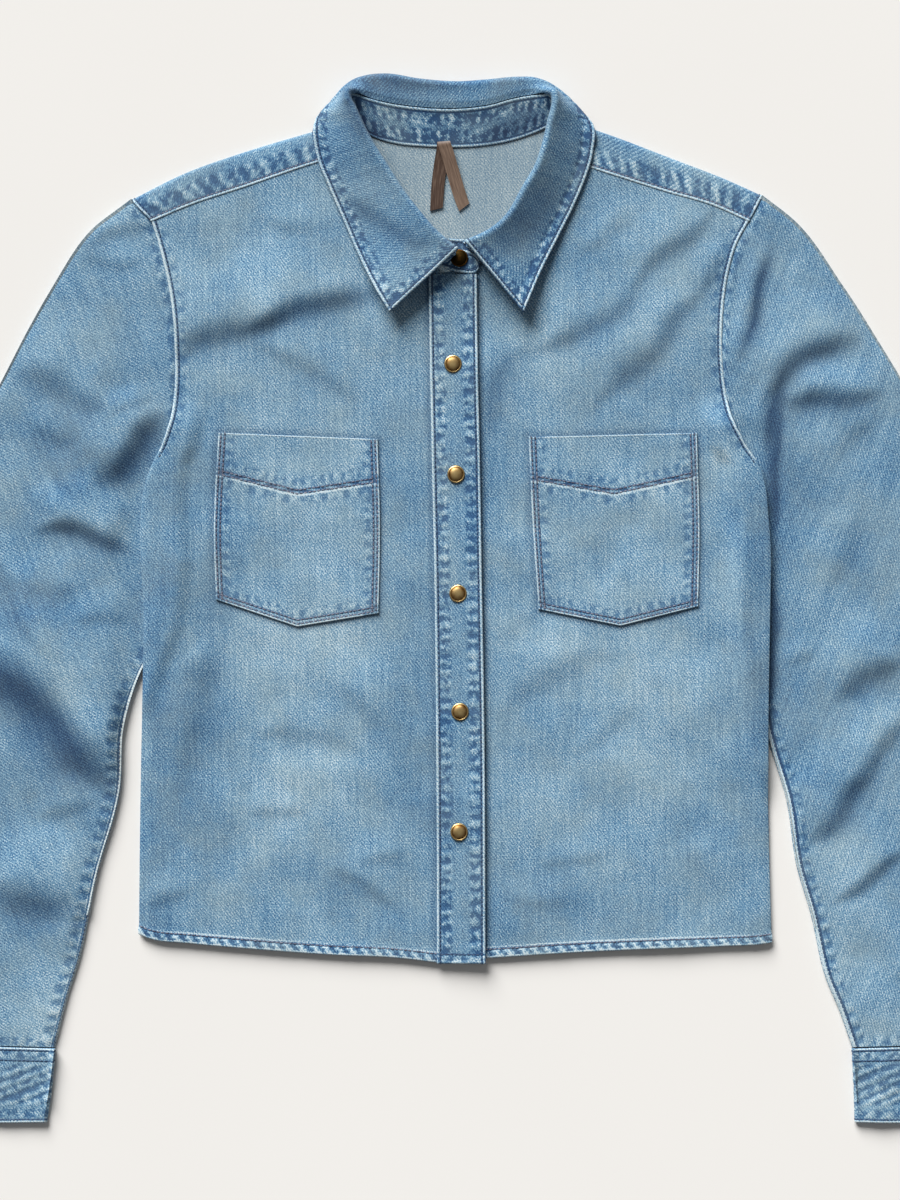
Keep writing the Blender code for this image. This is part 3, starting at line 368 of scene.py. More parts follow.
@dataclass(frozen=True)
class Outline:
    """The edges of the shirt in plan."""

    sides: tuple = (  # height, wearer's right, wearer's left
        (-243.0, -222.3, 221.3), (-168.0, -221.6, 219.4), (-100.0, -220.5, 218.4),
        (-45.0, -219.1, 219.0), (5.0, -219.1, 219.9), (32.0, -220.8, 220.2),
        (59.0, -220.8, 218.4), (83.0, -217.4, 215.6), (95.0, -213.0, 211.6),
        (107.0, -206.5, 203.5),
    )
    armholes: tuple = (  # from the underarm up to the front yoke seam
        (107.0, -206.5, 203.5), (129.5, -199.5, 192.7), (147.0, -197.3, 189.0),
        (171.5, -196.9, 186.6), (207.0, -199.2, 187.6), (228.5, -203.1, 190.6),
        (250.0, -208.6, 196.8), (265.8, -213.5, 205.4),
    )
    hem_right: tuple = (
        (-222.3, -233.8), (-215.0, -236.6), (-186.2, -240.1), (-144.0, -243.9),
        (-88.0, -248.0), (-39.0, -250.4), (-13.5, -253.5),
    )
    hem_left: tuple = (
        (221.3, -239.6), (214.0, -240.6), (184.8, -242.2), (128.8, -244.3),
        (72.8, -247.1), (25.1, -250.2), (-4.0, -251.6),
    )
    placket: tuple = (  # height, left edge, right edge
        (-254.0, -13.5, 20.8), (-112.0, -14.0, 20.3), (28.0, -15.6, 18.1), (97.0, -17.1, 17.0),
        (170.0, -18.5, 15.4), (228.0, -19.4, 14.8),
    )
    neckline_right: tuple = (
        (-80.0, 312.0), (-71.5, 290.0), (-59.0, 271.0), (-46.0, 256.5),
        (-28.5, 242.8), (-12.0, 232.5), (-11.0, 232.0),
    )
    neckline_left: tuple = (
        (79.5, 308.5), (72.0, 290.5), (62.5, 276.0), (51.5, 262.5),
        (39.0, 249.5), (25.0, 237.5), (-9.0, 229.5),
    )
    back_neck: tuple = (
        (-76.0, 335.5), (-66.0, 328.0), (-52.0, 321.8), (-38.0, 319.3),
        (-16.0, 317.2), (5.0, 317.2), (26.6, 319.3), (45.0, 323.2), (60.0, 328.6),
        (76.0, 336.5),
    )
    shoulder_right: tuple = (  # x and y of the fold, then of the seam
        (-227.5, 280.7, -213.5, 265.8), (-190.0, 299.3, -182.0, 278.8),
        (-149.0, 313.9, -149.0, 289.5), (-101.0, 328.3, -100.0, 306.3),
        (-76.0, 335.5, -80.0, 312.0),
    )
    shoulder_left: tuple = (
        (214.9, 283.5, 205.4, 265.8), (190.0, 294.7, 182.0, 276.2), (150.0, 310.2, 148.0, 286.3),
        (101.0, 328.6, 100.0, 301.6), (76.0, 336.5, 79.5, 308.5),
    )
    back_seam_y: float = 226.0

    def side(self, side: Side) -> Array:
        """Side edge, from the hem to the underarm."""
        return smooth([(row[1 if side is Side.RIGHT else 2], row[0]) for row in self.sides])

    def armhole(self, side: Side) -> Array:
        """Armhole, from the underarm to the yoke."""
        return smooth([(row[1 if side is Side.RIGHT else 2], row[0]) for row in self.armholes])

    def edge(self, side: Side) -> Array:
        """Side edge and armhole, from the hem up."""
        return join(self.side(side), self.armhole(side))

    def hem(self, side: Side) -> Array:
        """Lower edge, from the side to the placket."""
        return smooth(self.hem_right if side is Side.RIGHT else self.hem_left)

    def neckline(self, side: Side) -> Array:
        """Neck edge of a front, from the placket up."""
        return smooth(self.neckline_right if side is Side.RIGHT else self.neckline_left)[::-1]

    def placket_edge(self, column: int) -> Array:
        """Left (1) or right (2) edge of the placket, from the hem up."""
        return smooth([(row[column], row[0]) for row in self.placket])

    def shoulders(self, side: Side) -> tuple[Shoulder, ...]:
        """The shoulder's rows, from the armhole to the neck."""
        rows = self.shoulder_right if side is Side.RIGHT else self.shoulder_left
        return tuple(Shoulder(At(*row[:2]), At(*row[2:])) for row in rows)

    def shoulder(self, side: Side, name: str) -> Array:
        """The shoulder's fold or front seam, from the armhole to the neck."""
        return smooth([getattr(row, name) for row in self.shoulders(side)])

    def corner_way(self, side: Side) -> Array:
        """Which way the yoke's outer end runs.

        Args:
            side: The shoulder's side.

        Returns:
            Unit vector from the front seam's outer end to that of the fold.
        """
        corner = self.shoulders(side)[0]
        way = np.array(corner.fold) - np.array(corner.seam)
        return way / np.linalg.norm(way)


def sections(right: Sequence[tuple], left: Sequence[tuple]) -> dict[Side, tuple[Section, ...]]:
    """The sections of both sides' tubes, from rows of four numbers."""
    tables = zip(Side, (right, left))
    return {side: tuple(Section(At(*r[:2]), At(*r[2:])) for r in rows) for side, rows in tables}


POCKETS = {
    Side.RIGHT: PocketCorners(
        At(-166.4, 117.6), At(-54.6, 113.0), At(-52.9, 51.1), At(-54.0, -9.1),
        At(-111.0, -18.5), At(-168.0, 0.5), At(-169.6, 50.0),
    ),
    Side.LEFT: PocketCorners(
        At(50.6, 114.5), At(168.7, 117.4), At(170.6, 45.0), At(169.5, -4.2),
        At(115.1, -17.9), At(57.6, -6.3), At(53.6, 50.0),
    ),
}
SLEEVES = sections(  # x and y of the outer edge, then of the inner one
    ((-227.5, 280.7, -200.0, 28.0), (-256.9, 257.5, -201.0, 5.0), (-283.5, 218.0, -205.5, -17.5),
     (-319.2, 152.0, -212.0, -34.0), (-350.0, 91.0, -220.5, -50.4),
     (-375.0, 28.0, -232.7, -87.5), (-391.3, -41.7, -235.5, -134.0),
     (-401.8, -111.6, -251.3, -191.8), (-406.0, -181.7, -264.2, -252.7),
     (-404.6, -244.7, -272.1, -277.9), (-396.0, -309.6, -281.0, -313.0)),
    ((214.9, 283.5, 203.5, 7.0), (240.1, 263.0, 205.0, -18.0), (270.2, 221.5, 208.0, -42.0),
     (310.8, 157.0, 213.0, -70.0), (350.0, 88.0, 219.1, -98.0), (375.0, 28.0, 231.2, -138.6),
     (391.3, -41.7, 239.0, -187.6), (401.8, -111.6, 247.8, -217.0),
     (406.0, -181.7, 259.7, -266.4), (404.6, -244.7, 268.0, -286.0),
     (396.0, -309.6, 277.5, -313.0)),
)
UNDERARMS = {Side.RIGHT: At(-203.0, 66.0), Side.LEFT: At(206.0, 56.0)}
CUFFS = sections(  # x and y of the outer edge, then of the inner one
    ((-394.0, -310.1, -280.7, -313.6), (-395.0, -340.0, -283.0, -341.0),
     (-394.8, -366.6, -286.5, -365.8)),
    ((394.0, -310.1, 277.2, -313.6), (395.0, -340.0, 278.4, -341.0),
     (394.8, -367.4, 279.3, -365.6)),
)
STATIONS = tuple(Station(At(*row[:2]), row[2], At(*row[3:5]), *row[5:7], At(*row[7:9]), *row[9:])
                 for row in (  # seam x, y, z, top x, y, z, turn, edge x, y, z, under
    (-11.0, 234.0, 5.6, -0.4, 242.5, 9.0, 180, -46.3, 200.2, 5.8, 0),
    (-27.2, 244.6, 5.2, -14.5, 254.1, 9.2, 180, -56.0, 216.5, 5.8, 0),
    (-44.4, 258.2, 4.6, -26.2, 267.2, 9.2, 180, -68.0, 240.5, 5.8, 0),
    (-57.2, 272.4, 4.3, -37.9, 282.5, 9.2, 180, -79.0, 266.0, 5.8, 0),
    (-69.3, 290.9, 4.3, -50.5, 302.0, 9.2, 180, -89.3, 289.5, 5.8, 0),
    (-77.2, 311.2, 4.3, -62.1, 320.7, 9.3, 180, -98.0, 312.5, 5.8, 0),
    (-76.7, 320.0, 4.2, -68.6, 333.5, 9.4, 180, -100.0, 329.8, 5.8, 0),
    (-75.0, 330.0, 3.8, -72.8, 343.0, 9.4, 175, -95.8, 340.4, 5.2, 0.5),
    (-73.8, 336.6, 3.0, -75.4, 349.4, 9.2, 150, -87.5, 350.0, 5.0, 4),
    (-71.0, 334.4, 2.0, -73.4, 353.8, 8.4, 100, -79.4, 359.6, 5.2, 8),
    (-64.6, 329.8, 1.5, -69.0, 353.8, 7.2, 50, -72.6, 364.6, 5.8, 9),
    (-56.3, 325.4, 1.2, -62.0, 351.6, 6.4, 0, -64.0, 367.6, 6.4, 15),
    (-44.0, 321.9, 1.2, -50.0, 348.4, 6.0, 0, -50.5, 369.0, 6.6, 20),
    (-23.0, 319.6, 1.2, -25.0, 344.8, 6.0, 0, -25.5, 365.4, 6.6, 22),
    (0.0, 318.9, 1.2, 0.0, 343.9, 6.0, 0, 0.0, 363.5, 6.6, 22),
    (20.0, 320.2, 1.2, 22.0, 346.2, 6.0, 0, 22.5, 364.9, 6.6, 20),
    (38.0, 323.4, 1.2, 42.0, 351.4, 6.0, 0, 43.0, 366.7, 6.6, 16),
    (49.4, 326.9, 1.2, 53.6, 353.2, 6.4, 0, 55.5, 366.2, 6.2, 12),
    (58.2, 330.4, 1.5, 60.6, 353.8, 7.2, 50, 64.6, 363.2, 5.8, 8),
    (69.6, 335.8, 2.0, 65.6, 353.4, 8.4, 100, 72.0, 358.6, 5.2, 7),
    (73.8, 337.8, 3.0, 69.2, 348.6, 9.2, 150, 82.0, 349.6, 5.0, 4),
    (74.8, 331.0, 3.8, 69.0, 342.0, 9.4, 175, 91.0, 339.4, 5.2, 0.5),
    (75.9, 321.4, 4.2, 66.9, 334.0, 9.4, 180, 96.8, 330.4, 5.8, 0),
    (77.0, 310.0, 4.3, 64.4, 322.2, 9.3, 180, 96.0, 314.0, 5.8, 0),
    (70.0, 291.8, 4.3, 58.0, 302.3, 9.2, 180, 90.5, 294.5, 5.8, 0),
    (60.7, 277.5, 4.3, 49.2, 287.0, 9.2, 180, 82.0, 274.5, 5.8, 0),
    (49.8, 264.2, 4.6, 38.9, 268.8, 9.2, 180, 72.5, 255.5, 5.8, 0),
    (37.4, 251.4, 5.2, 26.5, 256.8, 9.2, 180, 60.0, 230.5, 5.8, 0),
    (24.5, 238.6, 5.6, 7.4, 247.6, 9.0, 180, 47.2, 200.2, 5.8, 0),
))
# A fold's shade is painted shade at its foot.
FOLDS = {  # on each part: x and y of its start, middle and end, steep, gentle, height, shade
    "body": (
        (-204, 164, -169, 186, -105, 201, 24, 42, 3.8, 0.34),
        (-157, 186, -97, 208, -36, 219, 20, 49, 4.6, 0.44),
        (-154, 183, -109, 165, -59, 134, 14, 25, 1.6, 0.1),
        (-202, -157, -176, -63, -171, 84, 31, 49, 3.2, 0.12),
        (-161, -13, -136, -24, -112, -39, 11, 17, 0.9, 0.06),
        (-105, -49, -59, -81, -27, -140, 22, 28, 1.5, 0.1),
        (-151, -106, -115, -94, -57, -109, 14, 24, 1.1, 0.1),
        (-140, -118, -102, -111, -66, -123, 21, 28, -1.3, 0),
        (-148, -153, -127, -148, -102, -148, 10, 20, 0.9, 0.08),
        (-97, -186, -62, -202, -31, -221, 11, 21, 1.3, 0.14),
        (-73, -188, -49, -179, -25, -173, 8, 14, 0.7, 0.08),
        (-221, -217, -200, -210, -182, -199, 13, 18, 1.2, 0.12),
        (-177, -210, -176, -188, -181, -161, 18, 18, 0.8, 0.08),
        (-147, 265, -106, 262, -64, 260, 14, 18, 0.9, 0.06),
        (21, 101, 31, 160, 56, 181, 17, 24, 2.2, 0.26),
        (38, 174, 101, 195, 137, 234, 18, 35, 2.4, 0.26),
        (113, 211, 154, 249, 188, 276, 15, 32, 2.1, 0.22),
        (90, 126, 136, 178, 181, 231, 18, 42, 2.6, 0.28),
        (167, 216, 179, 234, 188, 252, 13, 17, 1.2, 0.16),
        (73, 241, 109, 256, 137, 279, 14, 22, 0.9, 0.08),
        (27, -99, 56, -56, 129, -38, 24, 35, 1.5, 0.1),
        (78, -111, 104, -92, 130, -71, 14, 24, 0.9, 0.07),
        (50, -190, 80, -183, 113, -178, 10, 17, 0.8, 0.08),
        (24, -195, 50, -213, 91, -209, 10, 17, 0.8, 0.08),
        (154, -169, 175, -188, 192, -210, 17, 22, 1.1, 0.1),
        (31, 17, 36, 31, 41, 45, 11, 14, 0.8, 0.05),
        (207, -154, 206, -28, 203, 84, 24, 32, 1.6, 0.08),
        (101, 4, 120, 36, 139, 71, 14, 24, -2.2, 0), (21, -35, 45, -15, 74, -3, 13, 21, 1, 0.08),
        (129, -28, 151, -70, 164, -119, 18, 25, 0.9, 0.05),
    ),
    "sleeve": (
        (-267, 237, -242, 258, -199, 265, 11, 13, 0.9, 0.1),
        (-269, 241, -239, 235, -210, 246, 11, 17, 0.9, 0.1),
        (-314, 168, -273, 147, -232, 132, 24, 49, 3.4, 0.22),
        (-245, 126, -230, 134, -210, 139, 8, 13, 1, 0.1),
        (-260, 80, -234, 98, -203, 136, 27, 49, 5.2, 0.6),
        (-287, 112, -274, 84, -255, 59, 13, 24, 1.4, 0.1),
        (-301, 49, -260, 47, -214, 31, 17, 35, 4.4, 0.52),
        (-301, 78, -290, 67, -277, 57, 10, 14, 0.8, 0.08),
        (-328, 49, -308, -4, -283, -50, 15, 31, 2.4, 0.16),
        (-273, -15, -249, -13, -220, -11, 13, 21, 1.2, 0.1),
        (-354, -13, -287, -76, -227, -153, 39, 70, 8, 0.66),
        (-340, -199, -294, -209, -249, -223, 28, 42, 4.8, 0.34),
        (-267, -41, -256, -56, -245, -71, 10, 14, 0.8, 0.06),
        # Painted shadow beside the left armhole, with little height.
        (197, 157, 209, 207, 223, 259, 11, 10, 1.6, 0.75),
        (211, 133, 234, 168, 291, 185, 21, 35, 4.8, 0.5),
        (220, 143, 256, 140, 305, 146, 18, 24, 3.6, 0.42),
        # Painted shadow of the body's edge on the left sleeve, with little height.
        (218, 98, 218, 132, 227, 167, 15, 8, 1, 0.66),
        (230, 164, 227, 98, 227, 21, 14, 7, 0.5, 0.7),
        (227, 49, 224, -28, 223, -105, 11, 6, 0.3, 0.7),
        (252, 1, 273, 36, 280, 77, 17, 25, 1.4, 0.08),
        (259, -70, 284, -57, 319, -39, 20, 42, 3.4, 0.26),
        (241, -176, 274, -140, 300, -101, 18, 38, 4, 0.38),
        (277, -123, 300, -99, 323, -78, 17, 35, 2.6, 0.2),
        (260, -217, 288, -195, 323, -171, 15, 42, 3, 0.26),
        (227, -49, 238, -42, 251, -38, 10, 13, 1.1, 0.1),
        (262, 91, 273, 112, 297, 123, 14, 28, 1.4, 0.1),
        (-389, 28, -354, 24, -326, 10, 21, 39, 2.4, 0.1),
        (-396, -119, -361, -119, -333, -133, 21, 39, 2.6, 0.1),
        (-398, -252, -361, -252, -312, -270, 20, 39, 2.2, 0.1),
        (330, 59, 353, 46, 375, 38, 20, 39, 2.4, 0.1),
        (337, -203, 364, -188, 398, -196, 21, 39, 2.6, 0.1),
        (297, -270, 339, -255, 392, -270, 20, 39, 2.2, 0.1),
        (-305, 132, -283, 115, -259, 112, 13, 21, 1.2, 0.14),
        (-314, 21, -287, 8, -252, 10, 14, 28, 1.2, 0.1),
        (-294, -154, -273, -148, -249, -140, 14, 24, 1.6, 0.12),
        (-277, -252, -267, -231, -262, -210, 11, 17, 1, 0.1),
    ),
    # On the collar leaf: painted shade under its roll and in its inner corners, with little height.
    "leaf": (
        (-87, 286, -45, 262, -7, 249, 15, 17, 0.7, 0.4),
        (77, 302, 50, 255, 15, 227, 32, 7, 0.2, 0.42),
        (-77, 367, -70, 346, -53, 315, 17, 7, 0.2, 0.5),
        (-59, 370, -25, 360, 10, 361, 11, 10, 0.4, 0.3),
    ),
    # On the stand: painted shade in its inner corners; the stand takes no height from these.
    "stand": (
        (-77, 361, -66, 339, -38, 318, 24, 7, 0.1, 0.85),
        (73, 350, 48, 330, 10, 318, 18, 6, 0.1, 0.7),
    ),
}

# Paler and darker places of the wash; some of these are painted shade and painted light.
WASH_AND_PAINTED_LIGHT = (  # x and y of its middle, radii, and how much paler the wash has left it
    (-110, 40, 70, 150, 0.3), (120, -60, 70, 120, 0.45), (-110, -125, 44, 40, 0.45),
    (-130, -30, 60, 22, 0.35), (60, 165, 34, 50, 0.6), (-180, 225, 60, 40, 0.25),
    # (-200, 0) and (-206, -120): darker along the body's right side, less faded and painted shade of a
    # valley.
    (-30, -60, 22, 200, -0.35), (-200, 0, 26, 150, -0.45), (-206, -120, 26, 110, -0.3),
    (206, -40, 24, 180, -0.3), (-270, -300, 60, 30, 0.75), (-57, 368, 26, 16, -1.1),
    (16, 368, 32, 16, -0.75), (118, 332, 30, 14, -0.9), (35, 298, 30, 25, 0.25),
    (83, 262, 22, 22, -0.3), (-22, 262, 20, 20, -0.25), (-155, 205, 28, 30, -0.35),
    (83, 192, 22, 22, -0.3), (83, 124, 24, 24, -0.45), (30, 158, 26, 20, -0.35),
    # (223, 75): painted shadow of the body's edge on the left sleeve.
    (-57, 157, 20, 20, 0.25), (223, 75, 16, 90, -0.35), (-267, 105, 26, 32, -0.35),
    (-302, 0, 26, 34, -0.45), (-162, 0, 16, 110, -0.25), (-250, -105, 30, 26, -0.3),
    (195, -88, 30, 24, -0.3), (-267, -230, 24, 70, 0.3), (262, -190, 26, 30, 0.4),
    (280, -275, 40, 44, 0.4), (-302, -334, 24, 12, -0.3), (-302, -367, 40, 12, 0.35),
    (300, -367, 40, 14, 0.4), (48, -195, 30, 24, -0.22), (140, -205, 80, 24, -0.15),
    # (186, 101): painted light over the shade at the foot of the body's lift on the left sleeve.
    (-180, 262, 30, 16, -0.25), (186, 101, 8, 10, 0.5),
)


@dataclass(frozen=True)
class Drape:
    """How high the upper cloth lies, and where its folds run."""

    outline: Outline
    loft: float = 1.6  # of the upper cloth over the lower one
    roll: float = 11.0  # width over which it rises from a folded edge
    unevenness: float = 0.4
    crumple: float = 0.06
    warp: float = 2.0  # how far the creases stray from their lines
    # Painted shade at the folds' feet: how strong it is.
    shading: float = 1.15  # strength of the folds' shade
    fade_out: float = 0.36  # share of their length over which they die away at each end
    under_pockets: float = 0.35  # share of the folds that shows through pockets and placket
    under_fade: tuple[float, float] = (6.0, 26.0)  # distances off them where it changes
    leaf_fade: tuple[float, float] = (8.0, 28.0)  # and off the collar leaf
    leaf_low: float = 196.0
    placket_box: tuple[At, At] = (At(-24.0, -260.0), At(26.0, 240.0))
    # Place of a fold's foot and its widths below and above that, then the place of its crest,
    # all in halves of the steep side.
    foot: tuple[float, float, float] = (-0.2, 1.1, 0.62)
    crest: float = 1.4
    # Paler on a fold's crest from the wash; darker at its foot, as unfaded indigo and painted shade.
    crest_wear_foot_shade: tuple[float, float] = (0.05, -0.06)  # of the wash on crest and foot, for each mm
    # The darkest that the painted shade of one fold gets.
    darkest: float = 0.92
    broad: float = 52.0  # wavelengths of the unevenness, the crumple and the straying
    fine: float = 15.0
    stray: float = 56.0
    tuck_lift: dict = field(default_factory=lambda: {Side.RIGHT: 3.2, Side.LEFT: 6.0})
    tuck_ramp: float = 14.0
    placket_lift: float = 1.8
    press: tuple[float, float] = (2.0, 26.0)
    tuck_ends: dict = field(default_factory=lambda: {
        Side.RIGHT: (-95.0, -62.0, 120.0, 146.0),
        Side.LEFT: (-150.0, -112.0, 120.0, 146.0),
    })
    tucked: dict = field(default_factory=lambda: {  # height, and where the lift starts to fall
        Side.RIGHT: ((-95.0, -226.0), (-62.0, -218.0), (-17.5, -201.0), (28.0, -196.0),
                     (66.0, -199.0), (95.0, -197.0), (107.0, -191.0), (118.0, -188.0),
                     (150.0, -184.0)),
        Side.LEFT: ((-150.0, 226.0), (-112.0, 216.0), (-42.0, 204.0), (7.0, 200.0),
                    (56.0, 202.0), (95.0, 196.0), (107.0, 188.0), (118.0, 184.0),
                    (150.0, 175.0)),
    })

    def tuck(self, plan: Array) -> Array:
        """How far the body is lifted where it lies on a sleeve.

        Args:
            plan: Plan points.

        Returns:
            The lift at each.
        """
        x, y = plan[..., 0], plan[..., 1]
        lift = np.zeros(x.shape)
        for side, (low, full_low, full_high, high) in self.tuck_ends.items():
            edge = np.array(self.tucked[side])
            inside = (np.interp(y, edge[:, 0], edge[:, 1]) - x) * side.value
            reach = ramp(y, low, full_low) * (1 - ramp(y, full_high, high))
            lift += self.tuck_lift[side] * reach * (1 - ramp(inside, 0.0, self.tuck_ramp))
        return lift

    def pressed(self, plan: Array, side: Side) -> Array:
        """Where a sleeve lies in the open.

        Args:
            plan: Plan points.
            side: The sleeve's side.

        Returns:
            1 in the open, 0 where the body lies on it, and between them at the edge.
        """
        edge = self.outline.side(side)
        away, _, turn = nearest(plan, edge[edge[:, 1] > self.tuck_ends[side][0]])
        return np.where(turn * side.value < 0, ramp(away, *self.press), 0.0)

    def creases(self, plan: Array, on: str) -> tuple[Array, Array, Array]:
        """Sum of the folds of one part of the shirt.

        Args:
            plan: Plan points.
            on: The part.

        Returns:
            Their height, how far the wash has paled them, below 0 at their feet, where it is partly
            painted shade, and how dark the shade painted at their feet is.
        """
        strays = [self.warp * ripple(plan, self.stray, seed) for seed in (3, 4)]
        plan = plan + np.stack(strays, axis=-1)
        total, worn_and_shaded, shade = (np.zeros(plan.shape[:-1]) for _ in range(3))
        share = np.linspace(0, 1, 13)[:, None]
        for fold in (Fold(*row) for row in FOLDS[on]):
            a, b, c = np.array(fold[:6], float).reshape(3, 2)
            control = 2 * b - (a + c) / 2
            line = a * (1 - share) ** 2 + 2 * control * share * (1 - share) + c * share**2
            reach = fold.steep + fold.gentle
            close = ((plan > line.min(0) - reach) & (plan < line.max(0) + reach)).all(-1)
            away, along, turn = nearest(plan[close], line)
            whole = lengths(line)[-1]
            ends = ramp(np.minimum(along, whole - along) / whole, 0.0, self.fade_out)
            away, half = away * turn, fold.steep / 2 * (0.35 + 0.65 * ends)
            ends *= 1 - ramp(np.maximum(away, 0) / reach, 0.9, 1.0)
            shape = ramp(away / half, -1, 1) * (1 - ramp((away - half) / fold.gentle, 0, 1))
            total[close] += fold.height * ends * shape
            place, below, above = (size * half for size in self.foot)
            foot = np.exp(-(((away - place) / np.where(away > place, above, below)) ** 2))
            crest = np.exp(-(((away - self.crest * half) / half) ** 2))
            # Paler crest from the wash; darker foot as unfaded indigo and painted shade.
            worn_and_shaded[close] += fold.height * ends * (self.crest_wear_foot_shade[0] * crest + self.crest_wear_foot_shade[1] * foot)
            # Painted shade at the fold's foot.
            dark = np.minimum(self.shading * fold.shade, self.darkest) * ends * foot
            shade[close] = 1 - (1 - shade[close]) * (1 - dark)
        return total, np.clip(worn_and_shaded, -1.0, 0.4), shade

    def calm(self, plan: Array) -> Array:
        """How much of the folds shows: less under the pockets, placket and collar.

        Args:
            plan: Plan points.

        Returns:
            A share for each.
        """
        boxes = [self.placket_box]
        boxes += [(np.min(corners, axis=0), np.max(corners, axis=0)) for corners in POCKETS.values()]
        still = np.zeros(plan.shape[:-1])
        for low, high in boxes:
            outside = np.maximum(np.array(low) - plan, plan - np.array(high)).max(-1)
            still = np.maximum(still, 1 - ramp(outside, *self.under_fade))
        leaf = smooth([row.edge for row in STATIONS if not row.under])
        away, _, turn = nearest(plan, leaf)
        inside = (turn < 0) & (plan[..., 1] > self.leaf_low)
        near = np.where(inside, 1.0, 1 - ramp(away, *self.leaf_fade))
        still = np.maximum(still, near)
        return 1 - still * (1 - self.under_pockets)

    def uneven(self, plan: Array) -> Array:
        """Small unevenness of all the upper cloth."""
        broad = ripple(plan, self.broad, 11) * self.unevenness
        return broad + ripple(plan, self.fine, 12) * self.crumple

    def body(self, plan: Array) -> Array:
        """Lays the upper cloth of the body.

        Args:
            plan: Plan points.

        Returns:
            Height of the underside of the fronts and of the yoke's front strips.
        """
        edges = [self.outline.side(side) for side in Side]
        edges += [self.outline.shoulder(side, "fold") for side in Side]
        away = np.min([nearest(plan, edge)[0] for edge in edges], axis=0)
        loft = np.maximum(self.loft + self.calm(plan) * self.creases(plan, "body")[0], 0.0)
        return UNDER + self.tuck(plan) + (loft + self.uneven(plan)) * bulge(away, self.roll)

    def placket(self, plan: Array) -> Array:
        """Height of the face of the placket, which stands up a little at its free edge."""
        lifted_edge = self.placket_lift * ramp(plan[..., 0], -14.0, 22.0)
        return self.body(plan) + CLOTH + GAP + BAND + lifted_edge

    def sleeve(self, plan: Array, side: Side) -> Array:
        """Lays the upper cloth of a sleeve.

        Args:
            plan: Plan points.
            side: The sleeve's side.

        Returns:
            How far it stands above its pressed place.
        """
        edges = [smooth([getattr(row, name) for row in SLEEVES[side]]) for name in Section._fields]
        away = np.min([nearest(plan, edge)[0] for edge in edges], axis=0)
        loft = np.maximum(self.loft + self.creases(plan, "sleeve")[0], 0.0) + self.uneven(plan)
        return loft * bulge(away, self.roll) * self.pressed(plan, side)


# Finishes


def linear(code: str) -> tuple[float, float, float, float]:
    """Linear colour of an sRGB hex code.

    Args:
        code: The code, such as "#88a5b6".

    Returns:
        Red, green, blue and alpha, from 0 to 1.
    """
    shares = [int(code[i : i + 2], 16) / 255 for i in (1, 3, 5)]
    values = [s / 12.92 if s <= 0.04045 else ((s + 0.055) / 1.055) ** 2.4 for s in shares]
    return (*values, 1.0)


def connect(node: Node, links: dict) -> None:
    """Sets the inputs of a node.

    Args:
        node: The node.
        links: For each input, by name or index, a socket to link or a value to set.
    """
    for socket, source in links.items():
        if isinstance(source, NodeSocket):
            node.id_data.links.new(source, node.inputs[socket])
        else:
            node.inputs[socket].default_value = source


def add_node(
    tree: NodeTree,
    kind: str,
    links: dict,
    output: int | str = 0,
    stops: Sequence[tuple[float, str]] = (),
    **settings: object,
) -> NodeSocket:
    """Adds a node.

    Args:
        tree: The node tree.
        kind: The node's type, without the words that all types start with.
        links: For each input, by name or index, a socket to link or a value to set.
        output: Name or index of the output that is wanted.
        stops: Stops of its colour ramp, if it has one: a place from 0 to 1 and a hex colour.
        settings: Properties of the node.

    Returns:
        The output.
    """
    node = tree.nodes.new(f"ShaderNode{kind}")
    for name, value in settings.items():
        setattr(node, name, value)
    for i, (place, code) in enumerate(stops):
        elements = node.color_ramp.elements
        element = elements[i] if i < len(elements) else elements.new(1.0)
        element.position, element.color = place, linear(code)
    connect(node, links)
    return node.outputs[output]


def new_material(name: str) -> tuple[Material, NodeTree, Node]:
    """Starts a material.

    Args:
        name: Its name.

    Returns:
        The material, its node tree and its Principled shader.
    """
    material = bpy.data.materials.new(name)
    material.use_nodes = True
    tree = material.node_tree
    return material, tree, tree.nodes["Principled BSDF"]


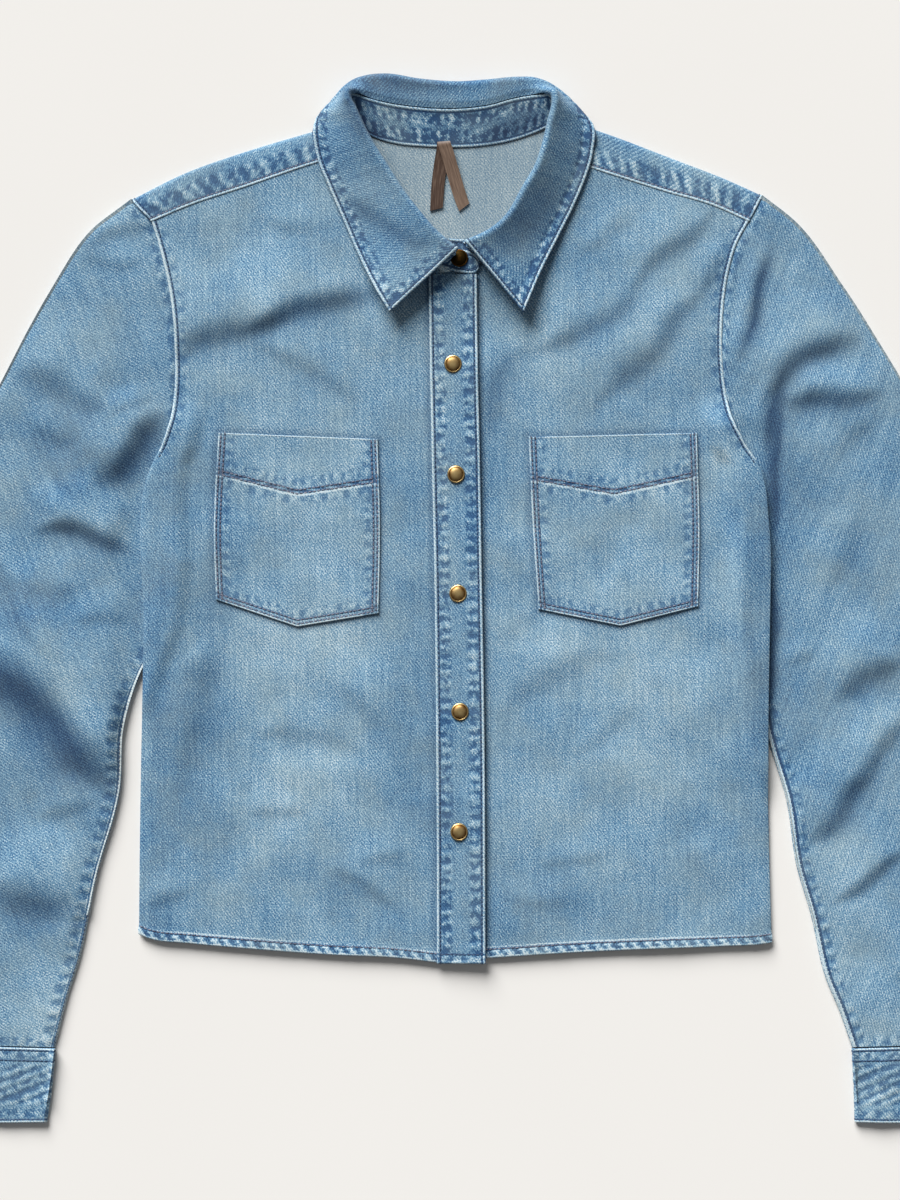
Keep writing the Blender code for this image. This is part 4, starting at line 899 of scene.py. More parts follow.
@dataclass(frozen=True)
class Denim:
    """Indigo denim, 3/1 twill, stone washed: matt and fuzzy, paler where it rubs."""

    name: str
    fade: float = 0.52  # how far it has faded, from 0, raw indigo, to 1, white
    mottle: float = 1.0  # strength of the blotches
    twill_mm: float = 1.8  # across the twill lines; the real 1.1 mm drawn coarser, to show
    twill_angle: float = 52.0
    grain_mm: float = 0.85  # the yarns' unevenness, drawn coarser than the real 0.7 mm
    slub_mm: tuple[float, float] = (2.2, 40.0)  # width and length of thick places in the warp
    cloud_mm: float = 60.0
    blotch_mm: float = 4.8
    shades: tuple[tuple[float, str], ...] = (
        (0.0, "#17406a"), (0.2, "#31628d"), (0.4, "#5180a3"), (0.55, "#6d97b2"),
        (0.7, "#88acc2"), (0.85, "#a7c4d3"), (1.0, "#d3e2e8"),
    )
    inside: tuple[tuple[float, str], ...] = (
        (0.0, "#5d7a90"), (0.4, "#8399a5"), (0.7, "#a3b2b6"), (1.0, "#cbd3d2"),
    )
    sulphur: str = "#a0aa9c"  # the yellowish cast of overdyed, worn places
    blotch: str = "#31628f"  # indigo that the puckers kept
    # Painted shade: the colour is multiplied by this where the shade mark is full.
    painted_shade_tint: str = "#4f7a9c"  # what the foot of a fold, raw indigo, keeps of the light
    roughness: float = 0.88
    sheen: float = 0.1  # nap

    def build(self) -> Material:
        """Makes the material, on the UV map "cut" and the attributes of a piece of cloth.

        Returns:
            The material.
        """
        material, tree, shader = new_material(self.name)
        cut = add_node(tree, "UVMap", {}, uv_map="cut")
        place = add_node(tree, "VectorMath", {0: cut, 1: (1 / MM,) * 3}, operation="MULTIPLY")
        turn = (0.0, 0.0, math.radians(self.twill_angle))
        turned = add_node(tree, "Mapping", {"Vector": place, "Rotation": turn})
        known = {"twill": add_node(
            tree, "TexWave",
            {"Vector": turned, "Scale": math.pi / 10 / self.twill_mm, "Distortion": 2.2,
             "Detail": 1.0, "Detail Scale": 2.0},
            "Fac", wave_type="BANDS", bands_direction="Y", wave_profile="SIN",
        )}
        for name, width, length, detail in (  # size in mm
            ("grain", self.grain_mm, self.grain_mm * 1.15, 4.0),
            ("slub", *self.slub_mm, 1.0),
            ("cloud", self.cloud_mm, self.cloud_mm, 3.0),
            ("blotch", self.blotch_mm, self.blotch_mm, 3.0),
            ("cast", self.cloud_mm * 0.6, self.cloud_mm * 0.6, 5.0),
        ):
            scale = (1 / width, 1 / length, 1.0)
            scaled = add_node(tree, "VectorMath", {0: place, 1: scale}, operation="MULTIPLY")
            links = {"Vector": scaled, "Scale": 1.0, "Detail": detail, "Roughness": 0.6}
            known[name] = add_node(tree, "TexNoise", links, noise_dimensions="2D")
        for name in (*MARKS, "reverse"):
            known[name] = add_node(tree, "Attribute", {}, "Fac", attribute_name=name)
        for name, operation, *values in (  # a smooth step has a value and its two ends
            ("frayed", "MULTIPLY_ADD", "grain", -2.0, "edge"),
            ("unrubbed", "SMOOTHSTEP", "frayed", 0.0, 1.0),
            ("ridge", "SUBTRACT", 1.0, "unrubbed"),
            # The groove mark darkens the colour here as painted shade, along rows of stitches and sewn
            # borders.
            ("open", "SMOOTHSTEP", "groove", 0.3, 1.1),
            ("painted_groove_shade", "SUBTRACT", 1.0, "open"),
            ("waved", "MULTIPLY_ADD", "pucker", -0.16, "blotch"),
            ("hollow", "SMOOTHSTEP", "waved", 0.48, 0.64),
            ("dark", "MULTIPLY", "hollow", "zone"),
            ("crest", "SMOOTHSTEP", "waved", 0.47, 0.32),
            ("pale", "MULTIPLY", "crest", "zone"),
            ("yellowed", "SMOOTHSTEP", "cast", 0.3, 0.8),
            ("sulphur", "MULTIPLY", "yellowed", 0.22),
            ("indigo", "MULTIPLY", "dark", 0.3),
            ("relief", "MULTIPLY_ADD", "twill", 0.5, "grain"),
        ):
            links = {i: known.get(value, value) for i, value in enumerate(values)}
            if operation == "SMOOTHSTEP":
                known[name] = add_node(tree, "MapRange", links, interpolation_type=operation)
            else:
                known[name] = add_node(tree, "Math", links, operation=operation)
        gains = (  # name, how much it fades the cloth, its middle value
            ("twill", 0.27, 0.5), ("grain", 2.1, 0.5), ("slub", 0.26, 0.5), ("cloud", 0.4, 0.5),
            ("blotch", 0.2, 0.5), ("wear_and_painted_light", 0.3, 0.0), ("dark", -0.3 * self.mottle, 0.0),
            ("pale", 0.18 * self.mottle, 0.0), ("ridge", 0.42, 0.0), ("painted_groove_shade", -0.75, 0.0),
        )
        fade = self.fade - sum(gain * middle for _, gain, middle in gains)
        for name, gain, _ in gains:
            links = {0: known[name], 1: gain, 2: fade}
            fade = add_node(tree, "Math", links, operation="MULTIPLY_ADD")
        colour, inside = (
            add_node(tree, "ValToRGB", {0: fade}, stops=stops)
            for stops in (self.shades, self.inside)
        )
        # The shade mark multiplies in painted shade: at the feet of folds, beside pockets and placket,
        # on the collar and beside the body's edge.
        for name, other, blend in (
            ("sulphur", linear(self.sulphur), "MIX"), ("indigo", linear(self.blotch), "MIX"),
            ("reverse", inside, "MIX"), ("shade", linear(self.painted_shade_tint), "MULTIPLY"),
        ):
            links = {"Factor": known[name], 6: colour, 7: other}
            colour = add_node(tree, "Mix", links, 2, data_type="RGBA", blend_type=blend)
        links = {"Height": known["relief"], "Strength": 0.3, "Distance": 0.3 * MM}
        connect(shader, {
            "Base Color": colour, "Roughness": self.roughness, "Sheen Weight": self.sheen,
            "Sheen Roughness": 0.6, "IOR": 1.45, "Normal": add_node(tree, "Bump", links),
        })
        return material


@dataclass(frozen=True)
class CottonThread:
    """Mercerised cotton sewing thread: a slight lustre, uneven from the wash."""

    name: str
    dark: str
    light: str
    uneven_mm: float = 2.0
    roughness: float = 0.6

    def build(self) -> Material:
        """Makes the material, on Object coordinates.

        Returns:
            The material.
        """
        material, tree, shader = new_material(self.name)
        place = add_node(tree, "TexCoord", {}, "Object")
        links = {"Vector": place, "Scale": 1 / (self.uneven_mm * MM), "Detail": 1.0}
        noise = add_node(tree, "TexNoise", links)
        stops = ((0.35, self.dark), (0.65, self.light))
        colour = add_node(tree, "ValToRGB", {0: noise}, stops=stops)
        connect(shader, {"Base Color": colour, "Roughness": self.roughness})
        return material


class Thread(Enum):
    """The threads that the shirt is sewn with."""

    INDIGO = CottonThread("indigo_thread", "#26395a", "#44607f")
    STONE = CottonThread("stone_thread", "#4b5065", "#868896")


@dataclass(frozen=True)
class Satin:
    """Woven polyester satin ribbon: smooth, with a soft gloss along its length."""

    name: str = "label_satin"
    dark: str = "#443126"
    light: str = "#87705f"
    thread_mm: float = 0.7
    streak_mm: float = 12.0  # length of the unevenness along the threads
    roughness: float = 0.42

    def build(self) -> Material:
        """Makes the material, on the UV map "cut" and the attribute of wear and painted light.

        Returns:
            The material.
        """
        material, tree, shader = new_material(self.name)
        cut = add_node(tree, "UVMap", {}, uv_map="cut")
        scale = (1 / (self.thread_mm * MM), 1 / (self.streak_mm * MM), 1.0)
        scaled = add_node(tree, "VectorMath", {0: cut, 1: scale}, operation="MULTIPLY")
        links = {"Vector": scaled, "Scale": 1.0, "Detail": 2.0}
        noise = add_node(tree, "TexNoise", links, noise_dimensions="2D")
        # The wear mark brings the label's painted shade and painted light.
        wear_and_painted_light = add_node(tree, "Attribute", {}, "Fac", attribute_name="wear_and_painted_light")
        faded = add_node(tree, "Math", {0: noise, 1: wear_and_painted_light}, operation="ADD")
        stops = ((0.2, self.dark), (0.9, self.light))
        colour = add_node(tree, "ValToRGB", {0: faded}, stops=stops)
        links = {"Height": noise, "Strength": 0.1, "Distance": 0.1 * MM}
        bump = add_node(tree, "Bump", links)
        connect(shader, {"Base Color": colour, "Normal": bump, "Roughness": self.roughness})
        return material


@dataclass(frozen=True)
class Brass:
    """Stamped brass with an antique finish: bright on the dome, brown in the groove."""

    name: str = "aged_brass"
    bright: str = "#f0d597"
    brown: str = "#7a5226"
    black: str = "#33260f"
    roughness: float = 0.36
    uneven_mm: float = 3.0

    def build(self) -> Material:
        """Makes the material, on Object coordinates and the attribute "patina", which holds painted
        shade too.

        Returns:
            The material.
        """
        material, tree, shader = new_material(self.name)
        place = add_node(tree, "TexCoord", {}, "Object")
        links = {"Vector": place, "Scale": 1 / (self.uneven_mm * MM), "Detail": 3.0}
        noise = add_node(tree, "TexNoise", links)
        patina = add_node(tree, "Attribute", {}, "Fac", attribute_name="patina")
        amount = add_node(tree, "Math", {0: noise, 1: 0.5, 2: patina}, operation="MULTIPLY_ADD")
        stops = ((0.15, self.bright), (0.75, self.brown), (1.0, self.black))
        colour = add_node(tree, "ValToRGB", {0: amount}, stops=stops)
        links = {0: amount, 1: 0.2, 2: self.roughness}
        rough = add_node(tree, "Math", links, operation="MULTIPLY_ADD")
        connect(shader, {"Base Color": colour, "Roughness": rough, "Metallic": 1.0})
        return material


@dataclass(frozen=True)
class Paper:
    """The matt pale sheet that the shirt lies on."""

    name: str = "pale_paper"
    colour: str = "#f2efea"
    other: str = "#efece7"  # of its slightly darker places
    uneven_mm: float = 330.0
    roughness: float = 0.9

    def build(self) -> Material:
        """Makes the material, on Object coordinates.

        Returns:
            The material.
        """
        material, tree, shader = new_material(self.name)
        place = add_node(tree, "TexCoord", {}, "Object")
        links = {"Vector": place, "Scale": 1 / (self.uneven_mm * MM), "Detail": 2.0}
        noise = add_node(tree, "TexNoise", links)
        stops = ((0.0, self.colour), (1.0, self.other))
        colour = add_node(tree, "ValToRGB", {0: noise}, stops=stops)
        connect(shader, {"Base Color": colour, "Roughness": self.roughness})
        return material


# Cloth


@dataclass(frozen=True)
class Seam:
    """Sewing along a border of a piece, or along a line on it."""

    border: Border | None = None
    line: Array | None = None
    inset: float = 0.0  # how far in from there it lies
    rows: tuple[float, ...] = ()  # distances of its rows of stitches
    thread: Thread = Thread.INDIGO
    ridge: float = 0.25  # height of the rolled edge
    width: float = 2.4  # and its width
    worn: bool = True  # whether the ridge is rubbed white
    sink: float = 0.22  # how deep the stitches pull the cloth
    pucker: float = 0.22  # height of the puckers
    zone: tuple[float, float] = (2.5, 13.0)  # where they start and end
    pitch: float = 13.0
    slant: float = 0.0  # how far they lean along the seam as they go in
    rope: float = 0.0  # how much paler their tops are than the hollows between them
    span: tuple[float, float] | None = None  # the stretch of the border that is sewn
    trim: tuple[float, float] = (0.0, 0.0)  # how far the stitches stay off its ends
    seed: int = 1


def grid_quads(rows: int, columns: int, across: int) -> Array:
    """The cells of a grid of points.

    Args:
        rows: Rows of points.
        columns: Points in a row.
        across: Cells in a row.

    Returns:
        The corners of each cell, as numbers of points.
    """
    r, c = np.meshgrid(np.arange(rows - 1), np.arange(across), indexing="ij")
    after = (c + 1) % columns
    corners = (r * columns + c, r * columns + after, (r + 1) * columns + after, (r + 1) * columns + c)
    return np.stack(corners, axis=-1)


def mark_points(mesh: Mesh, name: str, values: Array) -> None:
    """Writes an attribute that a finish reads: a value for each point of a mesh."""
    attribute = mesh.attributes.new(name, "FLOAT", "POINT")
    attribute.data.foreach_set("value", values.astype(np.float32))


@dataclass
class Cloth:
    """A piece of cloth as a grid of points, rows along it and columns across it."""

    name: str
    top: Array  # points of its face
    thickness: float
    cut: Array  # place of each point in the flat cloth
    ring: bool = False  # whether each row closes on itself
    flipped: bool = False  # whether rows and columns run clockwise, seen from outside
    cells: Array | None = None  # which cells there are
    on: str = ""  # the part whose folds it has
    double: bool = False  # doubled cloth, whose two faces are alike
    begins: float = 3.0  # half the length over which sewing begins and ends
    rub_at: float = 0.36  # where a rolled edge is rubbed most, as a share of its width
    rub_fall: float = 2.4  # how fast the rub fades beside it
    # How fast the painted shade at a sewn edge fades in from it.
    edge_fall: float = 2.6  # and the shade at the edge
    sunk_width: float = 0.8  # half width of the line that stitches pull in
    rows_sewn: list[tuple[Seam, Array, Array]] = field(default_factory=list)

    def __post_init__(self) -> None:
        """Starts with no relief and no marks."""
        shape = self.top.shape[:2]
        self.base = self.top.copy()
        self.normal = self.normals()
        self.relief = np.zeros(shape)
        self.edge, self.groove = np.full((2, *shape), OPEN)
        self.pucker, self.zone, self.shade = np.zeros((3, *shape))
        # Paler and darker places of the wash, with painted shade and painted light in some.
        self.wear_and_painted_light = wash_and_painted_light(self.top[..., :2])

    def normals(self) -> Array:
        """Works out the way up at each point.

        Returns:
            Unit normals, out of the face.
        """
        grid = self.top
        if self.ring:
            grid = np.concatenate([grid[:, -1:], grid, grid[:, :1]], axis=1)
        normal = np.cross(np.gradient(grid, axis=1), np.gradient(grid, axis=0))
        if self.ring:
            normal = normal[:, 1:-1]
        size = np.linalg.norm(normal, axis=-1, keepdims=True)
        normal = np.where(size > 1e-9, normal / np.maximum(size, 1e-9), (0.0, 0.0, 1.0))
        return -normal if self.flipped else normal

    def measure(self, seam: Seam) -> tuple[Array, Array]:
        """Measures where the points lie beside a seam.

        Args:
            seam: The seam.

        Returns:
            The distance of each point in from it, and the distance along it.
        """
        if seam.line is not None:
            away, run, turn = nearest(self.top[..., :2], seam.line)
            return away * turn, run
        axis = 0 if seam.border in (Border.START, Border.END) else 1
        steps = np.linalg.norm(np.diff(self.top, axis=axis), axis=-1)
        zero = np.zeros_like(np.take(steps, [0], axis))
        away = np.concatenate([zero, np.cumsum(steps, axis=axis)], axis=axis)
        at = 0
        if seam.border in (Border.END, Border.LAST):
            away = np.take(away, [-1], axis) - away
            at = -1
        run = lengths(np.take(self.top, at, axis))
        return away, run[None, :] if axis == 0 else run[:, None]

    def roll(self, *borders: Border, radius: float | None = None) -> None:
        """Rounds borders off within the cloth's thickness.

        Args:
            borders: The borders.
            radius: Of the round; half the thickness if it isn't given.
        """
        radius = radius or self.thickness * 0.5
        for border in borders:
            away, _ = self.measure(Seam(border))
            drop = radius * (1 - bulge(away, radius))
            self.relief -= drop

    def sew(self, *seams: Seam) -> None:
        """Raises ridges, pulls in rows of stitches and puckers the cloth beside them.

        Args:
            seams: What is sewn, in order.
        """
        for seam in seams:
            away, run = self.measure(seam)
            run = np.broadcast_to(run, away.shape)
            away = away - seam.inset
            sewn = np.ones(away.shape)
            if seam.span:
                start, end = (ramp(run, at - self.begins, at + self.begins) for at in seam.span)
                sewn = start * (1 - end)
            roped = seam.rope >= ROPED
            least, blend = (0.8, 0.15) if roped else (0.25, 0.35)
            waves = wave(run + seam.slant * away, seam.pitch, seam.seed, least)
            low, high = seam.zone
            fall = min(5.0, blend * (high - low))
            inside = ramp(away, low - 1.0, low + 1.5) * (1 - ramp(away, high - fall, high))
            self.relief += sewn * seam.ridge * hump(away, seam.width)
            self.relief += sewn * seam.pucker * waves * inside
            self.pucker = np.clip(self.pucker + sewn * waves * inside, -1.5, 1.5)
            if not roped:
                self.zone = np.maximum(self.zone, sewn * inside * (seam.pucker > 0))
            self.wear_and_painted_light += seam.rope * np.tanh(5 * (waves - 0.1)) * sewn * inside
            if seam.worn:
                ridge = np.abs(away / seam.width - self.rub_at) * self.rub_fall
                ridge = ridge + UNSEWN * (1 - sewn)
                self.edge = np.minimum(self.edge, ridge)
                # Painted shade along a sewn border, through the groove mark.
                if seam.line is None and not seam.inset:
                    shaded = self.edge_fall * away + UNSEWN * (1 - sewn)
                    self.groove = np.minimum(self.groove, shaded)
            for row in seam.rows:
                off = np.abs(away - row)
                self.relief -= sewn * seam.sink * np.exp(-((off / self.sunk_width) ** 2))
                # Painted shade along each row of stitches, through the groove mark.
                self.groove = np.minimum(self.groove, off + UNSEWN * (1 - sewn))
                self.rows_sewn.append((seam, row, away))

    def build(self, material: Material, slot: str) -> Object:
        """Makes the closed mesh, with its UV map and marks.

        Args:
            material: Its finish.
            slot: The node that it replaces.

        Returns:
            The object, which rides on the shirt.
        """
        self.top = self.base + self.normal * self.relief[..., None]
        depth = self.thickness + float(self.double) * 0.7 * self.relief
        under = self.base - self.normal * depth[..., None]
        for face in (self.top, under):
            face[..., 2] = np.maximum(face[..., 2], 0.0)
        rows, columns = self.top.shape[:2]
        across = columns if self.ring else columns - 1
        quads = grid_quads(rows, columns, across)
        if self.cells is not None:
            quads = quads[self.cells]
        quads = quads.reshape(-1, 4)
        if self.flipped:
            quads = quads[:, ::-1]
        count = rows * columns
        directed = np.concatenate([quads[:, [i, (i + 1) % 4]] for i in range(4)])
        keys = directed[:, 0] * count + directed[:, 1]
        back = directed[:, 1] * count + directed[:, 0]
        open_ = directed[~np.isin(keys, back)]
        rims = np.stack([open_[:, 1], open_[:, 0], open_[:, 0] + count, open_[:, 1] + count], -1)
        faces = np.vstack([quads, quads[:, ::-1] + count, rims])
        used, faces = np.unique(faces, return_inverse=True)
        faces = faces.reshape(-1, 4)
        points = np.vstack([self.top.reshape(-1, 3), under.reshape(-1, 3)])[used]
        mesh = bpy.data.meshes.new(self.name)
        mesh.from_pydata((points * MM).tolist(), [], faces.tolist())
        mesh.shade_smooth()
        mesh.set_sharp_from_angle(angle=math.radians(60))
        marks = {name: np.tile(getattr(self, name).ravel(), 2) for name in MARKS}
        marks["reverse"] = np.repeat((0.0, float(not self.double)), count)
        for name, values in marks.items():
            mark_points(mesh, name, values[used])
        loops = np.zeros(len(mesh.loops), np.int32)
        mesh.loops.foreach_get("vertex_index", loops)
        cut = np.tile(self.cut.reshape(-1, 2), (2, 1))[used][loops] * MM
        mesh.uv_layers.new(name="cut").data.foreach_set("uv", cut.astype(np.float32).ravel())
        return place_piece(self.name, mesh, material, slot)

    def rows_of_stitches(self) -> list[tuple[Thread, Array, Array]]:
        """Finds the rows of stitches on the finished face.

        Returns:
            For each row its thread, its points and the way up at each of them.
        """
        found = []
        tree = None
        for seam, row, away in self.rows_sewn:
            if seam.line is not None:
                if tree is None:
                    tree = self.tree()
                line = offset_line(seam.line, row)
                hits = [tree.ray_cast(Vector((*p, 60.0)), Vector((0, 0, -1))) for p in line]
                hits = [hit for hit in hits if hit[0] is not None]
                points = np.array([hit[0] for hit in hits])
                ups = np.array([hit[1] for hit in hits])
            else:
                points, ups = self.inset(seam.border, row, away)
            run = lengths(points)
            low, high = seam.trim[0], run[-1] - seam.trim[1]
            if seam.span:
                low, high = seam.span[0] + seam.trim[0], seam.span[1] - seam.trim[1]
            kept = (run >= low) & (run <= high)
            found.append((seam.thread, points[kept], ups[kept]))
        return found

    def tree(self) -> BVHTree:
        """Makes the face ready to cast rays at.

        Returns:
            The tree of its faces.
        """
        rows, columns = self.top.shape[:2]
        quads = grid_quads(rows, columns, columns - 1).reshape(-1, 4)
        return BVHTree.FromPolygons(self.top.reshape(-1, 3).tolist(), quads.tolist())

    def inset(
        self, border: Border, depth: float, away: Array
    ) -> tuple[Array, Array]:
        """Draws a line beside a border.

        Args:
            border: The border.
            depth: How far in from it.
            away: Distance of each point from it.

        Returns:
            The line's points, and the normals at them.
        """
        grid, normal, depths = self.top, self.normal, away
        if border in (Border.START, Border.END):
            grid, normal, depths = grid.swapaxes(0, 1), normal.swapaxes(0, 1), away.T
        if border in (Border.END, Border.LAST):
            grid, normal, depths = grid[:, ::-1], normal[:, ::-1], depths[:, ::-1]
        points, ups = [], []
        for line, up, known in zip(grid, normal, depths):
            points.append([np.interp(depth, known, line[:, i]) for i in range(3)])
            ups.append([np.interp(depth, known, up[:, i]) for i in range(3)])
        return np.array(points), np.array(ups)


def offset_line(line: Array, offset: float) -> Array:
    """Moves a polyline to its left.

    Args:
        line: The polyline.
        offset: How far.

    Returns:
        Its points, half a millimetre apart.
    """
    way = np.gradient(line, axis=0)
    way /= np.linalg.norm(way, axis=1, keepdims=True)
    moved = line + np.stack([-way[:, 1], way[:, 0]], axis=1) * offset
    return read(moved, np.linspace(0, 1, max(2, int(lengths(moved)[-1] * 2))))


def place_piece(
    name: str, mesh: Mesh, material: Material, slot: str | None
) -> Object:
    """Adds a piece of the shirt.

    Args:
        name: Its name.
        mesh: Its mesh, in place.
        material: Its finish.
        slot: The node that it replaces, if any.

    Returns:
        The object.
    """
    mesh.materials.clear()
    mesh.materials.append(material)
    obj = bpy.data.objects.new(name, mesh)
    bpy.context.scene.collection.objects.link(obj)
    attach(obj, "root")
    if slot:
        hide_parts(slot)
    return obj


@dataclass
class Sewing:
    """Stitches: one is modelled, and each row is made of its copies, joined."""

    length: float = 2.5
    pitch: float = 3.1
    width: float = 0.95
    height: float = 0.55
    straight: float = 0.55  # share of its length between the tapered ends
    taper: float = 0.22  # of an end, as a share of its width and of its length
    dip: float = 0.25  # of an end, as a share of its height
    stand: float = 0.12  # height of its middle above the cloth
    materials: dict = field(default_factory=dict)

    def __post_init__(self) -> None:
        """Models the one stitch."""
        self.points, self.faces = self.model()

    def model(self) -> tuple[Array, Array]:
        """Models one stitch along X, with its top at +Z.

        Returns:
            Its points and its faces.
        """
        bpy.ops.object.select_all(action="DESELECT")
        bpy.ops.mesh.primitive_cylinder_add(
            vertices=6, radius=self.width / 2, depth=self.length * self.straight,
            rotation=(0.0, math.pi / 2, 0.0), end_fill_type="NGON",
        )
        obj = bpy.context.object
        bpy.ops.object.transform_apply(location=True, rotation=True, scale=True)
        bpy.ops.object.mode_set(mode="EDIT")
        bpy.ops.mesh.select_all(action="DESELECT")
        bm = bmesh.from_edit_mesh(obj.data)
        for face in bm.faces:
            face.select = abs(face.normal.x) > 0.9
        bmesh.update_edit_mesh(obj.data)
        bpy.ops.mesh.inset(thickness=self.width * self.taper, use_individual=True)
        ends = [(face.calc_center_median().x, face) for face in bm.faces if face.select]
        push = self.length * self.taper
        for x, face in ends:
            bmesh.ops.translate(
                bm, verts=face.verts,
                vec=(math.copysign(push, x), 0.0, -self.height * self.dip),
            )
        bmesh.update_edit_mesh(obj.data)
        bpy.ops.mesh.select_all(action="SELECT")
        bpy.ops.transform.resize(value=(1.0, 1.0, self.height / self.width))
        bpy.ops.object.mode_set(mode="OBJECT")
        points = np.array([v.co for v in obj.data.vertices], float)
        obj.data.calc_loop_triangles()
        faces = np.array([t.vertices for t in obj.data.loop_triangles], int)
        bpy.data.meshes.remove(obj.data)
        return points, faces

    def add(self, cloth: Cloth) -> list[Object]:
        """Sews a finished piece of cloth.

        Args:
            cloth: The piece.

        Returns:
            Its stitches, one object for each thread.
        """
        places: dict[Thread, list[Array]] = {}
        for thread, line, ups in cloth.rows_of_stitches():
            if len(line) < 3:
                continue
            run = lengths(line)
            middles = np.arange(self.pitch / 2, run[-1], self.pitch)
            at = [np.interp(middles, run, c) for c in (*line.T, *ups.T)]
            ahead = np.stack([np.interp(middles + 0.5, run, c) for c in line.T], -1)
            behind = np.stack([np.interp(middles - 0.5, run, c) for c in line.T], -1)
            centre, up = np.stack(at[:3], -1), np.stack(at[3:], -1)
            along = ahead - behind
            along /= np.linalg.norm(along, axis=1, keepdims=True)
            side = np.cross(up, along)
            side /= np.linalg.norm(side, axis=1, keepdims=True)
            up = np.cross(along, side)
            frames = np.stack([along, side, up], axis=1)
            copies = np.einsum("vk,nkx->nvx", self.points, frames)
            copies += (centre + up * self.stand)[:, None]
            places.setdefault(thread, []).append(copies)
        pieces = []
        for thread, copies in places.items():
            stacked = np.concatenate(copies)
            stacked[..., 2] = np.maximum(stacked[..., 2], 0.0)
            count = len(self.points)
            faces = self.faces[None] + np.arange(len(stacked))[:, None, None] * count
            name = f"{cloth.name}_{thread.name.lower()}_stitches"
            mesh = bpy.data.meshes.new(name)
            points = (stacked.reshape(-1, 3) * MM).tolist()
            mesh.from_pydata(points, [], faces.reshape(-1, 3).tolist())
            mesh.shade_smooth()
            if thread not in self.materials:
                self.materials[thread] = thread.value.build()
            pieces.append(place_piece(name, mesh, self.materials[thread], None))
        return pieces


@dataclass
class Workshop:
    """What every piece is made with: outline, drape, sewing and finishes."""

    outline: Outline
    drape: Drape
    sewing: Sewing
    finishes: dict[str, Material]

    def finish(
        self,
        cloth: Cloth,
        finish: str,
        flat: tuple[float, float],
        held: str,
        rests_on: Sequence[str],
        area: float | None = None,
    ) -> Object:
        """Builds a piece of cloth and sews it.

        Args:
            cloth: The piece, named for the node that it replaces.
            finish: Name of its finish.
            flat: Width and length of its cut, in metres; not used.
            held: How it lies; not used.
            rests_on: What it lies on; not used.
            area: Flat area in square metres, where the cut isn't a rectangle; not used.

        Returns:
            The piece.
        """
        node = cloth.name
        if cloth.on:
            # The folds' paler crests, and their feet darkened with painted shade.
            _, worn_and_shaded, shade = self.drape.creases(cloth.top[..., :2], cloth.on)
            cloth.wear_and_painted_light += worn_and_shaded
            cloth.shade = np.maximum(cloth.shade, shade)
        cloth.name = f"{node}_cloth"
        obj = cloth.build(self.finishes[finish], node)
        stitches = self.sewing.add(cloth)
        LOG.info(
            "%s: %d faces, %d rows of stitches", node, len(obj.data.polygons),
            len(cloth.rows_sewn),
        )
        return obj


# The pieces


